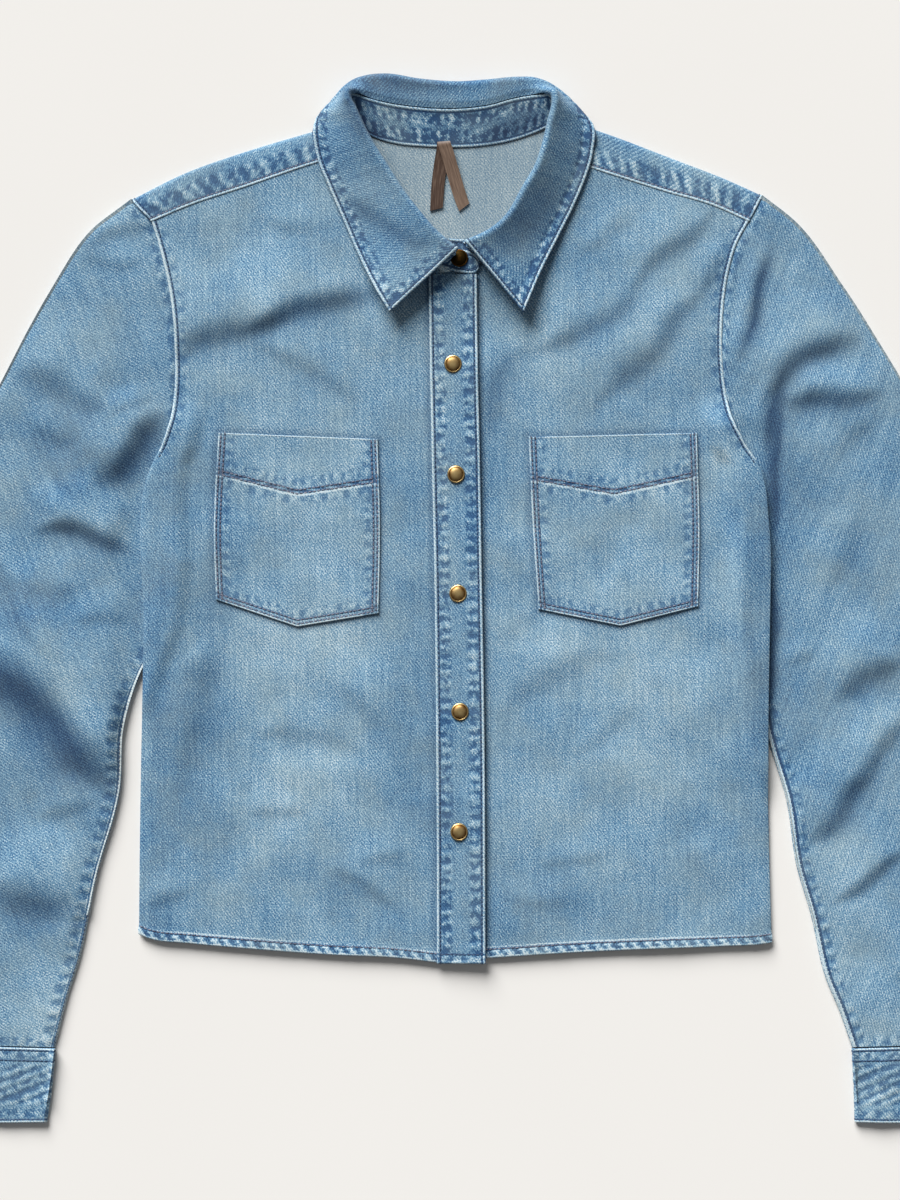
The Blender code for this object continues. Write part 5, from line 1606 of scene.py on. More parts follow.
@dataclass
class Front:
    """A front, from its side and armhole to the edge under the placket."""

    side: Side
    flat: tuple[float, float] = (0.24, 0.60)
    area: float = 0.108
    pitch: float = 2.3
    lap: float = 8.0  # how far it reaches under the placket
    level: float = 165.0  # below this its rows are level
    sloped: float = 60.0  # height over which they take on the hem's slope
    width: float = 200.0
    seam_lap: float = 0.6  # how far it reaches under the yoke
    hem_turn: float = 0.8
    hem_depth: float = 8.0
    # Painted shade in a band beside its pocket and the placket's edges: how dark, and how wide.
    contact_shade: float = 0.5  # shade beside its pocket and the placket, where the wash doesn't reach
    contact_shade_width: float = 3.2

    def plan(self, outline: Outline) -> Array:
        """Lays the front out.

        Args:
            outline: The shirt's outline.

        Returns:
            Plan points, rows from the hem up and columns from the side to the placket.
        """
        seam_y = outline.shoulders(self.side)[0].seam.y
        hem = outline.hem(self.side)
        low = hem[0, 1]
        shares = graded(seam_y - low, self.pitch)
        heights = low + (seam_y - low) * shares
        outside = at_heights(outline.edge(self.side), heights)
        centre = outline.placket_edge(1) + np.array([self.lap + (self.side is Side.LEFT), 0.0])
        neck = outline.neckline(self.side)
        hem[-1, 0] = np.interp(hem[-1, 1], centre[:, 1], centre[:, 0])
        neck[0, 0] = np.interp(neck[0, 1], centre[:, 1], centre[:, 0])
        straight = heights < self.level
        inside = at_heights(centre, heights[straight])
        turned = low + self.sloped
        known = (low, turned, self.level), (hem[-1, 1], turned, self.level)
        inside[:, 1] = np.interp(heights[straight], *known)
        rest = join(np.array([inside[-1], neck[0]]), neck)
        upper = read(rest, np.linspace(0, 1, (~straight).sum() + 1))[1:]
        inside = np.vstack([inside, upper])
        seam = outline.shoulder(self.side, "seam")
        across = graded(self.width, self.pitch, last=False)
        inside[0], inside[-1] = hem[-1], seam[-1]
        return patch(outside, inside, read(hem, across), read(seam, across), across, shares)

    def build(self, shop: Workshop) -> Object:
        """Makes the front.

        Args:
            shop: What it is made with.

        Returns:
            The piece.
        """
        plan = self.plan(shop.outline)
        plan[-1, :, 1] += self.seam_lap
        height = shop.drape.body(plan) + CLOTH
        cloth = Cloth(
            f"front_{self.side.name.lower()}", lifted(plan, height), CLOTH, plan,
            flipped=self.side is Side.LEFT, on="body",
        )
        away, _ = cloth.measure(Seam(Border.START))
        cloth.relief += self.hem_turn * 0.6 * (1 - ramp(away, self.hem_depth - 2, self.hem_depth))
        cloth.roll(Border.START, Border.FIRST)
        corners = POCKETS[self.side]
        outlines = [np.array([*corners, corners[0]]), shop.outline.placket_edge(1),
                    shop.outline.placket_edge(2)]
        # Painted shade around the pocket and along both placket edges.
        for line in outlines:
            away, _, _ = nearest(plan, line)
            cloth.shade = np.maximum(cloth.shade, self.contact_shade * np.exp(-((away / self.contact_shade_width) ** 2)))
        underarm = lengths(shop.outline.side(self.side))[-1]
        top = lengths(shop.outline.edge(self.side))[-1]
        cloth.sew(
            Seam(Border.START, rows=(6.2,), thread=Thread.STONE, ridge=0.3, width=5.0,
                 pucker=0.45, zone=(0.6, 5.9), pitch=8.8, slant=-0.9 * self.side.value, rope=1.5,
                 seed=5, worn=False, trim=(1.0, 0.0)),
            Seam(Border.START, ridge=0.2, width=1.6, pucker=0.0, seed=6),
            Seam(Border.START, inset=7.0, ridge=0.15, width=1.1, pucker=0.0),
            Seam(Border.FIRST, rows=(2.9,), ridge=0.5, width=2.6, pucker=0.16, zone=(3.4, 10.0),
                 pitch=11.0, span=(underarm - 16, top), seed=7),
        )
        return shop.finish(
            cloth, "body", self.flat, "laid", ["back", f"sleeve_{self.side.name.lower()}"],
            self.area,
        )


def wash_and_painted_light(plan: Array) -> Array:
    """How the wash has left the cloth paler and darker, with painted shade and painted light in
    places.

    Args:
        plan: Plan points.

    Returns:
        How much paler it is at each, below 0 where it is darker.
    """
    total = np.zeros(plan.shape[:-1])
    for x, y, across, along, strength in WASH_AND_PAINTED_LIGHT:
        square = ((plan[..., 0] - x) / across) ** 2 + ((plan[..., 1] - y) / along) ** 2
        total += strength * np.exp(-square)
    return total


@dataclass
class Back:
    """The back below the yoke, flat on the floor but for where it lies on the sleeves."""

    flat: tuple[float, float] = (0.452, 0.50)
    area: float = 0.214
    pitch: float = 6.0
    hem_rise: float = 1.5
    width: float = 440.0

    def build(self, shop: Workshop) -> Object:
        """Makes the back.

        Args:
            shop: What it is made with.

        Returns:
            The piece.
        """
        outline = shop.outline
        hem = join(outline.hem(Side.RIGHT)[:-1], outline.hem(Side.LEFT)[:-1][::-1])
        hem = smooth(hem[::6], 2) + np.array([0.0, self.hem_rise])
        ends = [h[0, 1] for h in (outline.hem(Side.RIGHT), outline.hem(Side.LEFT))]
        up = graded(outline.back_seam_y - ends[0], self.pitch)
        edges = [
            at_heights(outline.edge(side), low + (outline.back_seam_y - low) * up)
            for side, low in zip(Side, ends)
        ]
        edges[0][0], edges[1][0] = hem[0], hem[-1]
        across = graded(self.width, self.pitch)
        seam = np.linspace(edges[0][-1], edges[1][-1], 9)
        plan = patch(*edges, read(hem, across), read(seam, across), across, up)
        cloth = Cloth("back", lifted(plan, shop.drape.tuck(plan)), CLOTH, plan, flipped=True)
        cloth.roll(Border.START, Border.FIRST, Border.LAST)
        return shop.finish(cloth, "body", self.flat, "laid", [], self.area)


@dataclass
class Yoke:
    """The yoke: its back, and a strip over each shoulder down to the front seam."""

    flat: tuple[float, float] = (0.462, 0.14)
    area: float = 0.052
    pitch: float = 2.4
    neck_half: float = 60.0
    lap: float = 0.9  # how far its front edge reaches over the fronts
    length: float = 155.0  # along a shoulder
    depth: float = 24.0  # of a strip, from the fold to the front seam
    strip_pitch: float = 1.7
    back_rows: int = 34
    neck_points: int = 62
    turn: tuple[int, int, int] = (-75, 45, 8)  # first and last angle of the fold, and how many
    stood: float = 0.35  # how much higher its seam stands than the front

    def strip(self, shop: Workshop, side: Side, shares: Array) -> Array:
        """Lays the yoke out behind a shoulder, over it and down to the front seam.

        Args:
            shop: What it is made with.
            side: The shoulder's side.
            shares: Shares of its columns, from the armhole in.

        Returns:
            Points, rows from the back seam up and over.
        """
        outline, base_y = shop.outline, shop.outline.back_seam_y
        radius = CLOTH + GAP / 2
        below = np.linspace(0, 1, self.back_rows)
        fold, seam = (outline.shoulder(side, name) for name in Shoulder._fields)
        edge = outline.edge(side)
        end_x = np.interp(base_y, edge[:, 1], edge[:, 0])
        way = np.array([side.value * self.neck_half - end_x, 0.0])
        base = np.array([end_x, base_y]) + shares[:, None] * way
        out = outward(fold, shares, At(0, FAR))
        out[0] = outline.corner_way(side)
        crest = read(fold, shares) - out * radius
        target = read(seam, shares) - out * self.lap
        heights = base_y + (crest[0, 1] - base_y) * below
        ends = at_heights(join(edge, np.array([edge[-1], crest[0]])), heights)
        bulges = ends - (base[0] + (crest[0] - base[0]) * below[:, None])
        rows = [lifted(base + (crest - base) * s + b * (1 - shares)[:, None], 0.0)
                for s, b in zip(below, bulges)]
        for angle in np.radians(np.linspace(*self.turn)):
            turned = crest + out * radius * math.cos(angle)
            rows.append(lifted(turned, radius * (1 + math.sin(angle))))
        for s in graded(self.depth, self.strip_pitch, first=False):
            plan = crest + (target - crest) * s
            height = shop.drape.body(plan) + CLOTH + self.stood * ramp(np.array(s), 0.1, 0.6)
            rows.append(lifted(plan, height))
        return np.array(rows)

    def build(self, shop: Workshop) -> Object:
        """Makes the yoke.

        Args:
            shop: What it is made with.

        Returns:
            The piece.
        """
        outline, base_y = shop.outline, shop.outline.back_seam_y
        shares = graded(self.length, self.pitch, last=False)
        below = np.linspace(0, 1, self.back_rows)
        right, left = (self.strip(shop, side, shares) for side in Side)
        columns = len(shares)
        count, half = self.neck_points, self.neck_half
        neck = read(smooth(outline.back_neck), np.linspace(0, 1, count))[1:-1]
        base = np.linspace((-half, base_y), (half, base_y), count)[1:-1]
        rows = len(right)
        middle = np.zeros((rows, len(neck), 3))
        for row in range(rows):
            share = below[row] if row < len(below) else 1.0
            middle[row] = lifted(base + (neck - base) * share, 0.0)
        top = np.concatenate([right, middle, left[:, ::-1]], axis=1)
        cells = np.ones((rows - 1, top.shape[1] - 1), bool)
        cells[len(below) - 1:, columns - 1 : columns + len(neck)] = False
        steps = np.linalg.norm(np.diff(top, axis=0), axis=-1)
        run = np.concatenate([np.zeros((1, top.shape[1])), np.cumsum(steps, axis=0)])
        cut = np.stack([top[..., 0], run], axis=-1)
        cloth = Cloth("yoke", top, CLOTH, cut, cells=cells, flipped=True)
        cloth.roll(Border.END)
        fold_run = float(run[self.back_rows + self.turn[2] // 2, 0])
        end = float(run[-1, 0])
        neck_columns = slice(columns, columns + len(neck))
        cloth.sew(
            Seam(Border.END, rows=(2.6,), thread=Thread.STONE, ridge=0.35, pucker=0.3,
                 zone=(2.8, 18.0), pitch=9.4, slant=0.35, rope=0.35, seed=21),
            Seam(Border.FIRST, rows=(2.4,), ridge=0.4, pucker=0.1, span=(fold_run, end), seed=22),
            Seam(Border.LAST, rows=(2.4,), ridge=0.4, pucker=0.1, span=(fold_run, end), seed=23),
        )
        for plain in (cloth.relief, cloth.pucker, cloth.zone, cloth.wear_and_painted_light):
            plain[:, neck_columns] = 0
        cloth.groove[:, neck_columns] = cloth.edge[:, neck_columns] = OPEN
        return shop.finish(
            cloth, "yoke", self.flat, "folded", ["front_right", "front_left"], self.area
        )


@dataclass
class Placket:
    """The placket strip, on the right front."""

    flat: tuple[float, float] = (0.035, 0.484)
    pitch: float = 1.5
    stitched: float = 2.6
    length: float = 482.0
    width: float = 34.4

    def build(self, shop: Workshop) -> Object:
        """Makes the placket.

        Args:
            shop: What it is made with.

        Returns:
            The piece.
        """
        lines = [shop.outline.placket_edge(edge) for edge in (1, 2)]
        up = graded(self.length, self.pitch, last=False)
        across = graded(self.width, self.pitch)
        left, right = (read(line, up) for line in lines)
        plan = left[:, None] * (1 - across[None, :, None]) + right[:, None] * across[None, :, None]
        height = shop.drape.placket(plan)
        cloth = Cloth("placket", lifted(plan, height), BAND, plan)
        cloth.roll(Border.START, Border.FIRST, Border.LAST)
        cloth.sew(
            Seam(Border.FIRST, rows=(self.stitched,), ridge=0.25, pucker=0.2, zone=(3.0, 13.0),
                 pitch=8.0, seed=31),
            Seam(Border.LAST, rows=(self.stitched,), ridge=0.25, pucker=0.2, zone=(3.0, 13.0),
                 pitch=8.5, seed=32),
            Seam(Border.START, rows=(6.5,), ridge=0.2, pucker=0.1, zone=(0.5, 6.5), pitch=9.0,
                 trim=(2.6, 2.6), seed=33),
        )
        return shop.finish(cloth, "band", self.flat, "laid", ["front_right"])


@dataclass
class Pocket:
    """A patch pocket with a pointed foot and a pointed facing, sewn with double rows."""

    side: Side
    flat: tuple[float, float] = (0.118, 0.136)
    area: float = 0.0148
    pitch: float = 1.6
    rows: tuple[float, float] = (2.0, 4.8)
    width: float = 114.0
    height: float = 125.0
    side_length: float = 122.0
    facing: float = 26.5  # from the top edge to the facing's seam at the sides
    point: float = 11.5  # and how much lower its middle is

    def build(self, shop: Workshop) -> Object:
        """Makes the pocket.

        Args:
            shop: What it is made with.

        Returns:
            The piece.
        """
        p = POCKETS[self.side]
        across, up = graded(self.width, self.pitch), graded(self.height, self.pitch)
        left = smooth([p.low_left, p.left_mid, p.top_left])
        right = smooth([p.low_right, p.right_mid, p.top_right])
        foot = np.array([p.low_left, p.point, p.low_right], float)
        top = np.array([p.top_left, p.top_right], float)
        plan = patch(read(left, up), read(right, up), read(foot, across), read(top, across),
                     across, up)
        height = shop.drape.body(plan) + CLOTH + GAP + CLOTH
        name = f"pocket_{self.side.name.lower()}"
        cloth = Cloth(name, lifted(plan, height), CLOTH, plan)
        cloth.roll(Border.START, Border.END, Border.FIRST, Border.LAST)
        down = np.array([self.facing / self.side_length])
        low = [read(side[::-1], down)[0] for side in (left, right)]
        middle = (low[0] + low[1]) / 2 - np.array([0.0, self.point])
        veed = np.array([low[1], middle, low[0]])
        veed = read(veed, np.linspace(0, 1, 60))
        seed = 41 if self.side is Side.RIGHT else 46
        sides = dict(rows=self.rows, thread=Thread.STONE, ridge=0.2, pucker=0.1,
                     zone=(5.2, 13.0), pitch=8.0)
        cloth.sew(
            Seam(Border.FIRST, seed=seed, trim=(2.0, 1.0), **sides),
            Seam(Border.LAST, seed=seed + 1, trim=(2.0, 1.0), **sides),
            Seam(Border.START, seed=seed + 2, trim=(3.0, 3.0), **sides),
            Seam(Border.END, ridge=0.2, width=1.1, pucker=0.0, seed=seed + 3),
            Seam(line=veed, rows=(0.6, 3.2), thread=Thread.STONE, ridge=0.0, pucker=0.0,
                 worn=False, trim=(4.0, 4.0), seed=seed + 4),
            Seam(line=veed, inset=3.9, ridge=0.25, width=1.5, pucker=0.12, zone=(1.5, 9.0),
                 pitch=8.0, seed=seed + 5),
            Seam(line=veed[::-1], ridge=0.0, pucker=0.15, zone=(0.8, 9.0), pitch=7.0, worn=False,
                 seed=seed + 6),
        )
        return shop.finish(
            cloth, "pocket", self.flat, "laid", [f"front_{self.side.name.lower()}"], self.area
        )


@dataclass
class Tube:
    """Rings of points round a flattened tube of cloth."""

    edges: list[Array]  # outer and inner folded edge
    out: list[Array]  # unit vectors out of them
    along: Array
    thickness: float
    turns: int = 7

    def rings(
        self,
        heads: tuple[Array, Array],
        across: tuple[Array, Array],
        loft: Callable[[Array], Array],
    ) -> Array:
        """Points of the tube's face.

        Args:
            heads: Head line of the lower and of the upper layer.
            across: Shares of the columns of each layer.
            loft: Extra height of plan points of the upper layer.

        Returns:
            The points.
        """
        radius = self.thickness + GAP / 2
        first, last = (read(e, self.along) - o * radius for e, o in zip(self.edges, self.out))
        tail = np.linspace(first[-1], last[-1], 9)
        plans = []
        for head, shares in zip(heads, across):
            top = read(head, shares)
            top[0], top[-1] = first[0], last[0]
            plans.append(patch(first, last, top, read(tail, shares), shares, self.along))
        lower, upper = plans
        angles = np.radians(np.linspace(-78, 45, self.turns))
        parts = [lifted(lower, 0.0)]
        parts += [self.turned(last, self.out[1], radius, a) for a in angles]
        parts.append(lifted(upper, 2 * radius + loft(upper))[:, ::-1])
        parts += [self.turned(first, self.out[0], radius, a) for a in angles[::-1]]
        return np.concatenate(parts, axis=1)

    @staticmethod
    def turned(centre: Array, out: Array, radius: float, angle: float) -> Array:
        """One line of points round a folded edge, at this angle from level."""
        moved = centre + out * radius * math.cos(angle)
        return lifted(moved, radius * (1 + math.sin(angle)))[:, None]


@dataclass
class Sleeve:
    """A sleeve, from the armhole to the cuff seam."""

    side: Side
    flat: tuple[float, float] = (0.36, 0.56)
    area: float = 0.16
    pitch: float = 2.6
    below_pitch: float = 6.0
    length: float = 560.0
    lean: float = 22.0  # of its grain from upright, in degrees
    tucked: float = 0.8  # how far its head reaches under the body's edge
    seam_inset: float = 3.0  # of the underarm seam, in from the inner edge

    def head(self, outline: Outline) -> Array:
        """Draws the head: across the yoke's end, down the armhole and under the body's side.

        Args:
            outline: The shirt's outline.

        Returns:
            The polyline.
        """
        shoulder = outline.shoulders(self.side)[0]
        way, value = outline.corner_way(self.side), self.side.value
        step = -self.tucked * np.array([value * abs(way[1]), -abs(way[0])])
        armhole = outline.armhole(self.side)[::-1] - np.array([value * self.tucked, 0.0])
        armhole[0] = np.array(shoulder.seam) + step
        below = smooth([armhole[-1], UNDERARMS[self.side], SLEEVES[self.side][0].inner])
        return np.vstack([np.array(shoulder.fold) + step, armhole, below[1:]])

    def build(self, shop: Workshop) -> Object:
        """Makes the sleeve.

        Args:
            shop: What it is made with.

        Returns:
            The piece.
        """
        side, outline = self.side, shop.outline
        head = self.head(outline)
        rows = [Section(At(*head[0]), SLEEVES[side][0].inner), *SLEEVES[side][1:]]
        edges = [smooth([getattr(row, name) for row in rows]) for name in Section._fields]
        along = graded(self.length, self.pitch)
        value = side.value
        out = [outward(edges[0], along, At(value * FAR, 0)), outward(edges[1], along, At(0, 0))]
        out[0][0] = outline.corner_way(side)
        total = lengths(head)[-1]
        across = (graded(total, self.below_pitch), graded(total, self.pitch))
        top = Tube(edges, out, along, CLOTH).rings(
            (head, head), across, lambda plan: shop.drape.sleeve(plan, side)
        )
        lean = math.radians(self.lean) * value
        turn = np.array([[math.cos(lean), math.sin(lean)], [-math.sin(lean), math.cos(lean)]])
        cut = top[..., :2] @ turn
        name = f"sleeve_{side.name.lower()}"
        cloth = Cloth(name, top, CLOTH, cut, ring=True, flipped=side is Side.LEFT, on="sleeve")
        inner = edges[1][edges[1][:, 1] < -40][::value]
        inset = 1.2 if side is Side.RIGHT else self.seam_inset
        sunk = 0.7 * (1 - ramp(cloth.measure(Seam(Border.START))[0], 0.0, 5.0))
        cloth.relief -= sunk * (top[..., 2] > 2.0)
        cloth.sew(
            Seam(line=inner, inset=0.9, rows=(inset,), ridge=0.2, pucker=0.3, zone=(inset, 11.0),
                 pitch=10.0, seed=50 + value),
            Seam(Border.END, ridge=0.0, worn=False, pucker=0.25, zone=(0.5, 8.0),
                 pitch=9.0, seed=54 + value),
            Seam(Border.START, ridge=0.0, worn=False, pucker=0.12, zone=(1.0, 9.0),
                 pitch=13.0, seed=57 + value),
        )
        cuff = f"cuff_{side.name.lower()}"
        return shop.finish(cloth, "sleeve", self.flat, "laid", [cuff], self.area)


@dataclass
class Cuff:
    """A cuff: a flattened ring of doubled cloth."""

    side: Side
    flat: tuple[float, float] = (0.235, 0.055)
    pitch: float = 1.6
    below_pitch: float = 4.0
    depth: float = 56.0
    width: float = 113.0
    seam_row: float = 9.0
    edge_row: float = 2.3
    fullness: float = 0.5  # of the upper layer, and how uneven it is
    unevenness: float = 0.35

    def build(self, shop: Workshop) -> Object:
        """Makes the cuff.

        Args:
            shop: What it is made with.

        Returns:
            The piece.
        """
        rows, value = CUFFS[self.side], self.side.value
        edges = [smooth([getattr(row, name) for row in rows]) for name in Section._fields]
        along = graded(self.depth, self.pitch)
        out = [outward(edges[0], along, At(value * FAR, 0)), outward(edges[1], along, At(0, 0))]
        head = np.linspace(rows[0].outer, rows[0].inner, 9)
        across = tuple(graded(self.width, pitch) for pitch in (self.below_pitch, self.pitch))
        top = Tube(edges, out, along, BAND).rings(
            (head, head), across,
            lambda plan: self.fullness + self.unevenness * ripple(plan, 26.0, 61),
        )
        name = f"cuff_{self.side.name.lower()}"
        cloth = Cloth(name, top, BAND, top[..., :2].copy(), ring=True,
                      flipped=self.side is Side.LEFT, double=True)
        cloth.roll(Border.START, Border.END)
        cloth.sew(
            Seam(Border.START, rows=(1.9, self.seam_row), ridge=0.3, width=1.9, pucker=0.2,
                 zone=(2.5, 9.0), pitch=9.0, slant=0.8, seed=62 + value),
            Seam(Border.START, inset=9.0, ridge=0.0, worn=False, pucker=0.3, zone=(2.0, 34.0),
                 pitch=17.0, slant=2.4 * value, seed=68 + value),
            Seam(Border.END, rows=(self.edge_row,), ridge=0.25, pucker=0.22,
                 zone=(3.4, 11.0), pitch=11.0, seed=65 + value),
        )
        return shop.finish(cloth, "cuff", self.flat, "laid", [])


def with_thickness(middle: Array, wall: float) -> Array:
    """Thickens a ribbon.

    Args:
        middle: Grid of points along its middle.
        wall: Its thickness.

    Returns:
        Points of its face.
    """
    normal = np.cross(np.gradient(middle, axis=1), np.gradient(middle, axis=0))
    normal /= np.maximum(np.linalg.norm(normal, axis=-1, keepdims=True), 1e-9)
    return middle + normal * wall / 2


def risen(middle: Array) -> Array:
    """Lets the roll of the collar stand up, as soft cloth does.

    Args:
        middle: Its middle grid.

    Returns:
        The grid, raised.
    """
    middle = middle.copy()
    middle[..., 2] += COLLAR_RISE * np.maximum(middle[..., 2] - COLLAR_FOOT, 0.0)
    return middle


def measured_cut(grid: Array) -> Array:
    """Unrolls a grid of points.

    Args:
        grid: The points.

    Returns:
        Place of each in the flat cloth, along the rows' middles and across.
    """
    middle = lengths(grid[:, grid.shape[1] // 2])
    steps = np.linalg.norm(np.diff(grid, axis=1), axis=-1)
    across = np.concatenate([np.zeros((len(grid), 1)), np.cumsum(steps, axis=1)], axis=1)
    return np.stack([np.broadcast_to(middle[:, None], across.shape), across], axis=-1)


@dataclass
class Stand:
    """The collar stand, from the neck seam to the leaf, with its front tab."""

    flat: tuple[float, float] = (0.41, 0.024)
    chords: int = 8
    pitch: float = 1.4
    depth: float = 28.0
    lap: float = 1.6  # how far it reaches down over the neck seam
    tab_z: float = 5.6
    tab: tuple = (  # x and y of its foot, then of its top
        (16.6, 232.6, 16.6, 237.0), (13.5, 229.2, 14.0, 241.6), (4.0, 228.9, 5.0, 245.4),
        (-5.5, 231.2, -0.6, 245.2),
    )
    underlap: tuple = (  # the other end, under the tab
        (19.0, 240.0, 6.8, 252.3), (11.0, 239.0, 1.5, 252.8), (3.0, 239.0, -6.0, 253.4),
    )
    lap_z: tuple[float, float] = (3.3, 5.2)

    def build(self, shop: Workshop) -> Object:
        """Makes the stand.

        Args:
            shop: What it is made with.

        Returns:
            The piece.
        """
        rows = [(*tab[:2], self.tab_z, *tab[2:], self.tab_z) for tab in self.tab]
        for row in STATIONS:
            seam, top = np.array(row.seam), np.array(row.top)
            away = (seam - top) / np.linalg.norm(seam - top)
            low = seam + away * self.lap * (row.under > 1)
            rows.append((*low, row.seam_z, *top, row.top_z))
        rows += [(*lap[:2], self.lap_z[0], *lap[2:], self.lap_z[1]) for lap in self.underlap]
        table = smooth(rows, self.chords)
        shares = graded(self.depth, self.pitch)[None, :, None]
        middle = risen(table[:, None, :3] * (1 - shares) + table[:, None, 3:] * shares)
        top = with_thickness(middle, BAND)
        cloth = Cloth("collar_stand", top, BAND, measured_cut(middle), on="stand", double=True)
        cloth.roll(Border.START, Border.END, Border.FIRST, Border.LAST)
        cloth.sew(
            Seam(Border.FIRST, rows=(2.6,), ridge=0.25, pucker=0.26, zone=(3.0, 15.0),
                 pitch=7.0, rope=0.3, seed=71),
            Seam(Border.LAST, rows=(2.6,), ridge=0.2, pucker=0.26, zone=(3.0, 14.0), pitch=6.0,
                 rope=0.3, seed=72),
        )
        return shop.finish(cloth, "stand", self.flat, "folded", ["yoke"])


@dataclass
class Leaf:
    """The collar leaf: over the fronts at its ends, turned down behind at the back."""

    flat: tuple[float, float] = (0.45, 0.05)
    chords: int = 9
    curl: float = 2.0  # radius to its middle where it turns over the stand
    start: float = 0.5
    step: float = 1.2
    level: float = 8.0  # level part at its outer edge
    rise: At = At(4.0, 0.5)
    tip_lift: float = 5.5
    tip_reach: float = 42.0
    stitched: float = 2.8

    def profile(self, row: Station) -> Array:
        """Draws the middle line of the leaf at a station.

        Args:
            row: The station.

        Returns:
            Points: distance out from the stand's top, and height.
        """
        turn = math.radians(row.turn)
        step = self.start + self.step * math.sin(turn)
        start = np.array([0.0, row.top_z]) + step * np.array([math.cos(turn), math.sin(turn)])
        reach = math.dist(row.edge, row.top)
        radius = (row.edge_z - BAND / 2) / 2
        last = radius + BAND / 2 if row.under else self.level
        bend = np.array([reach - last, BAND / 2 + radius])
        end = np.array([bend[0], row.edge_z])
        centre = start + self.curl * np.array([math.sin(turn), -math.cos(turn)])
        drop = math.atan2(centre[1] + self.curl - end[1], end[0] - centre[0])
        points = [centre + self.curl * np.array([-math.sin(a), math.cos(a)])
                  for a in np.linspace(turn, -drop, 10)]
        if not row.turn:
            points = [start + np.array(self.rise) * s for s in np.linspace(0, 1, 10)]
        crest = points[-1]
        for share in np.linspace(0, 1, 21)[1:]:
            fall = share if row.under else 1.2 * share - 0.2 * share**2
            points.append(crest + (end - crest) * np.array([share, min(fall, 1.0)]))
        tail = np.linspace(0, 1, 13)[1:]
        if not row.under:
            points += [end + np.array([self.level * (1 - (1 - s) ** 1.6), 0.0]) for s in tail]
            return np.array(points)
        sweep = 120 if row.under < 1 else 180
        turns = 12 if row.under < 1 else 9
        for angle in np.radians(90 - sweep * np.linspace(0, 1, turns + 1)[1:]):
            points.append(bend + radius * np.array([math.cos(angle), math.sin(angle)]))
        if row.under > 1:
            points += [np.array([bend[0] - row.under * s, BAND / 2]) for s in (0.4, 0.75, 1.0)]
        return np.array(points)

    def build(self, shop: Workshop) -> Object:
        """Makes the leaf.

        Args:
            shop: What it is made with.

        Returns:
            The piece.
        """
        table = []
        for row in STATIONS:
            top, edge = np.array(row.top), np.array(row.edge)
            away = (edge - top) / np.linalg.norm(edge - top)
            profile = self.profile(row)
            table.append(lifted(top + profile[:, :1] * away, profile[:, 1]))
        shape = table[0].shape
        known = np.array(table).reshape(len(table), -1)
        fine = smooth(known, self.chords)
        ends = [smooth(pair, 20) for pair in (known[:3], known[-3:])]
        fine = np.vstack([ends[0][:20], fine[self.chords : -self.chords], ends[1][-20:]])
        middle = fine.reshape(-1, *shape)
        for tip in (STATIONS[0].edge, STATIONS[-1].edge):
            away = np.linalg.norm(middle[..., :2] - np.array(tip), axis=-1)
            middle[..., 2] += self.tip_lift * np.exp(-((away / self.tip_reach) ** 2))
        middle[..., 2] += shop.drape.creases(middle[..., :2], "leaf")[0]
        middle = risen(middle[::-1])
        top = with_thickness(middle, BAND)
        cloth = Cloth("collar_leaf", top, BAND, measured_cut(middle), on="leaf", double=True)
        cloth.roll(Border.START, Border.END, Border.LAST)
        cloth.sew(
            Seam(Border.LAST, rows=(self.stitched,), ridge=0.2, pucker=0.25, zone=(3.2, 12.0),
                 pitch=7.5, seed=81),
            Seam(Border.START, rows=(self.stitched,), ridge=0.2, pucker=0.22, zone=(3.2, 12.0),
                 pitch=7.0, trim=(6.0, self.stitched), seed=82),
            Seam(Border.END, rows=(self.stitched,), ridge=0.2, pucker=0.22, zone=(3.2, 12.0),
                 pitch=7.0, trim=(6.0, self.stitched), seed=83),
        )
        return shop.finish(
            cloth, "leaf", self.flat, "folded", ["collar_stand", "front_right", "front_left"]
        )


@dataclass
class Label:
    """The bare neck label, a ribbon folded into two tails."""

    flat: tuple[float, float] = (0.010, 0.088)
    width: float = 9.0
    line: tuple = (  # x, y, z, and the tilt of its width
        (-13.8, 274.0, 2.1, 14), (-12.2, 296.0, 2.1, -4), (-9.9, 312.0, 2.6, -2),
        (-9.0, 317.0, 3.5, 0), (-8.9, 320.4, 3.9, 2), (-8.7, 321.3, 4.6, 4),
        (-8.4, 320.0, 5.2, 6), (-7.0, 316.0, 5.1, 12), (-2.2, 300.0, 3.9, 17),
        (2.0, 286.0, 2.8, 19), (5.8, 275.5, 2.1, 38),
    )

    def build(self, shop: Workshop) -> Object:
        """Makes the label.

        Args:
            shop: What it is made with.

        Returns:
            The piece.
        """
        table = smooth(self.line, 6)
        line, tilt = table[:, :3], np.radians(table[:, 3])
        half = np.stack([np.cos(tilt), np.sin(tilt), np.zeros(len(tilt))], axis=-1)
        half *= self.width / 2
        shares = np.linspace(-1, 1, 9)[None, :, None]
        middle = line[:, None] + half[:, None] * shares
        top = with_thickness(middle, RIBBON)
        cloth = Cloth("neck_label", top, RIBBON, measured_cut(middle)[..., ::-1])
        # Painted shade darkening the left tail, and painted light on the right one, along the ribbon.
        cloth.wear_and_painted_light[:] = np.linspace(-0.28, 0.28, len(top))[:, None]
        return shop.finish(cloth, "satin", self.flat, "folded", ["yoke"])


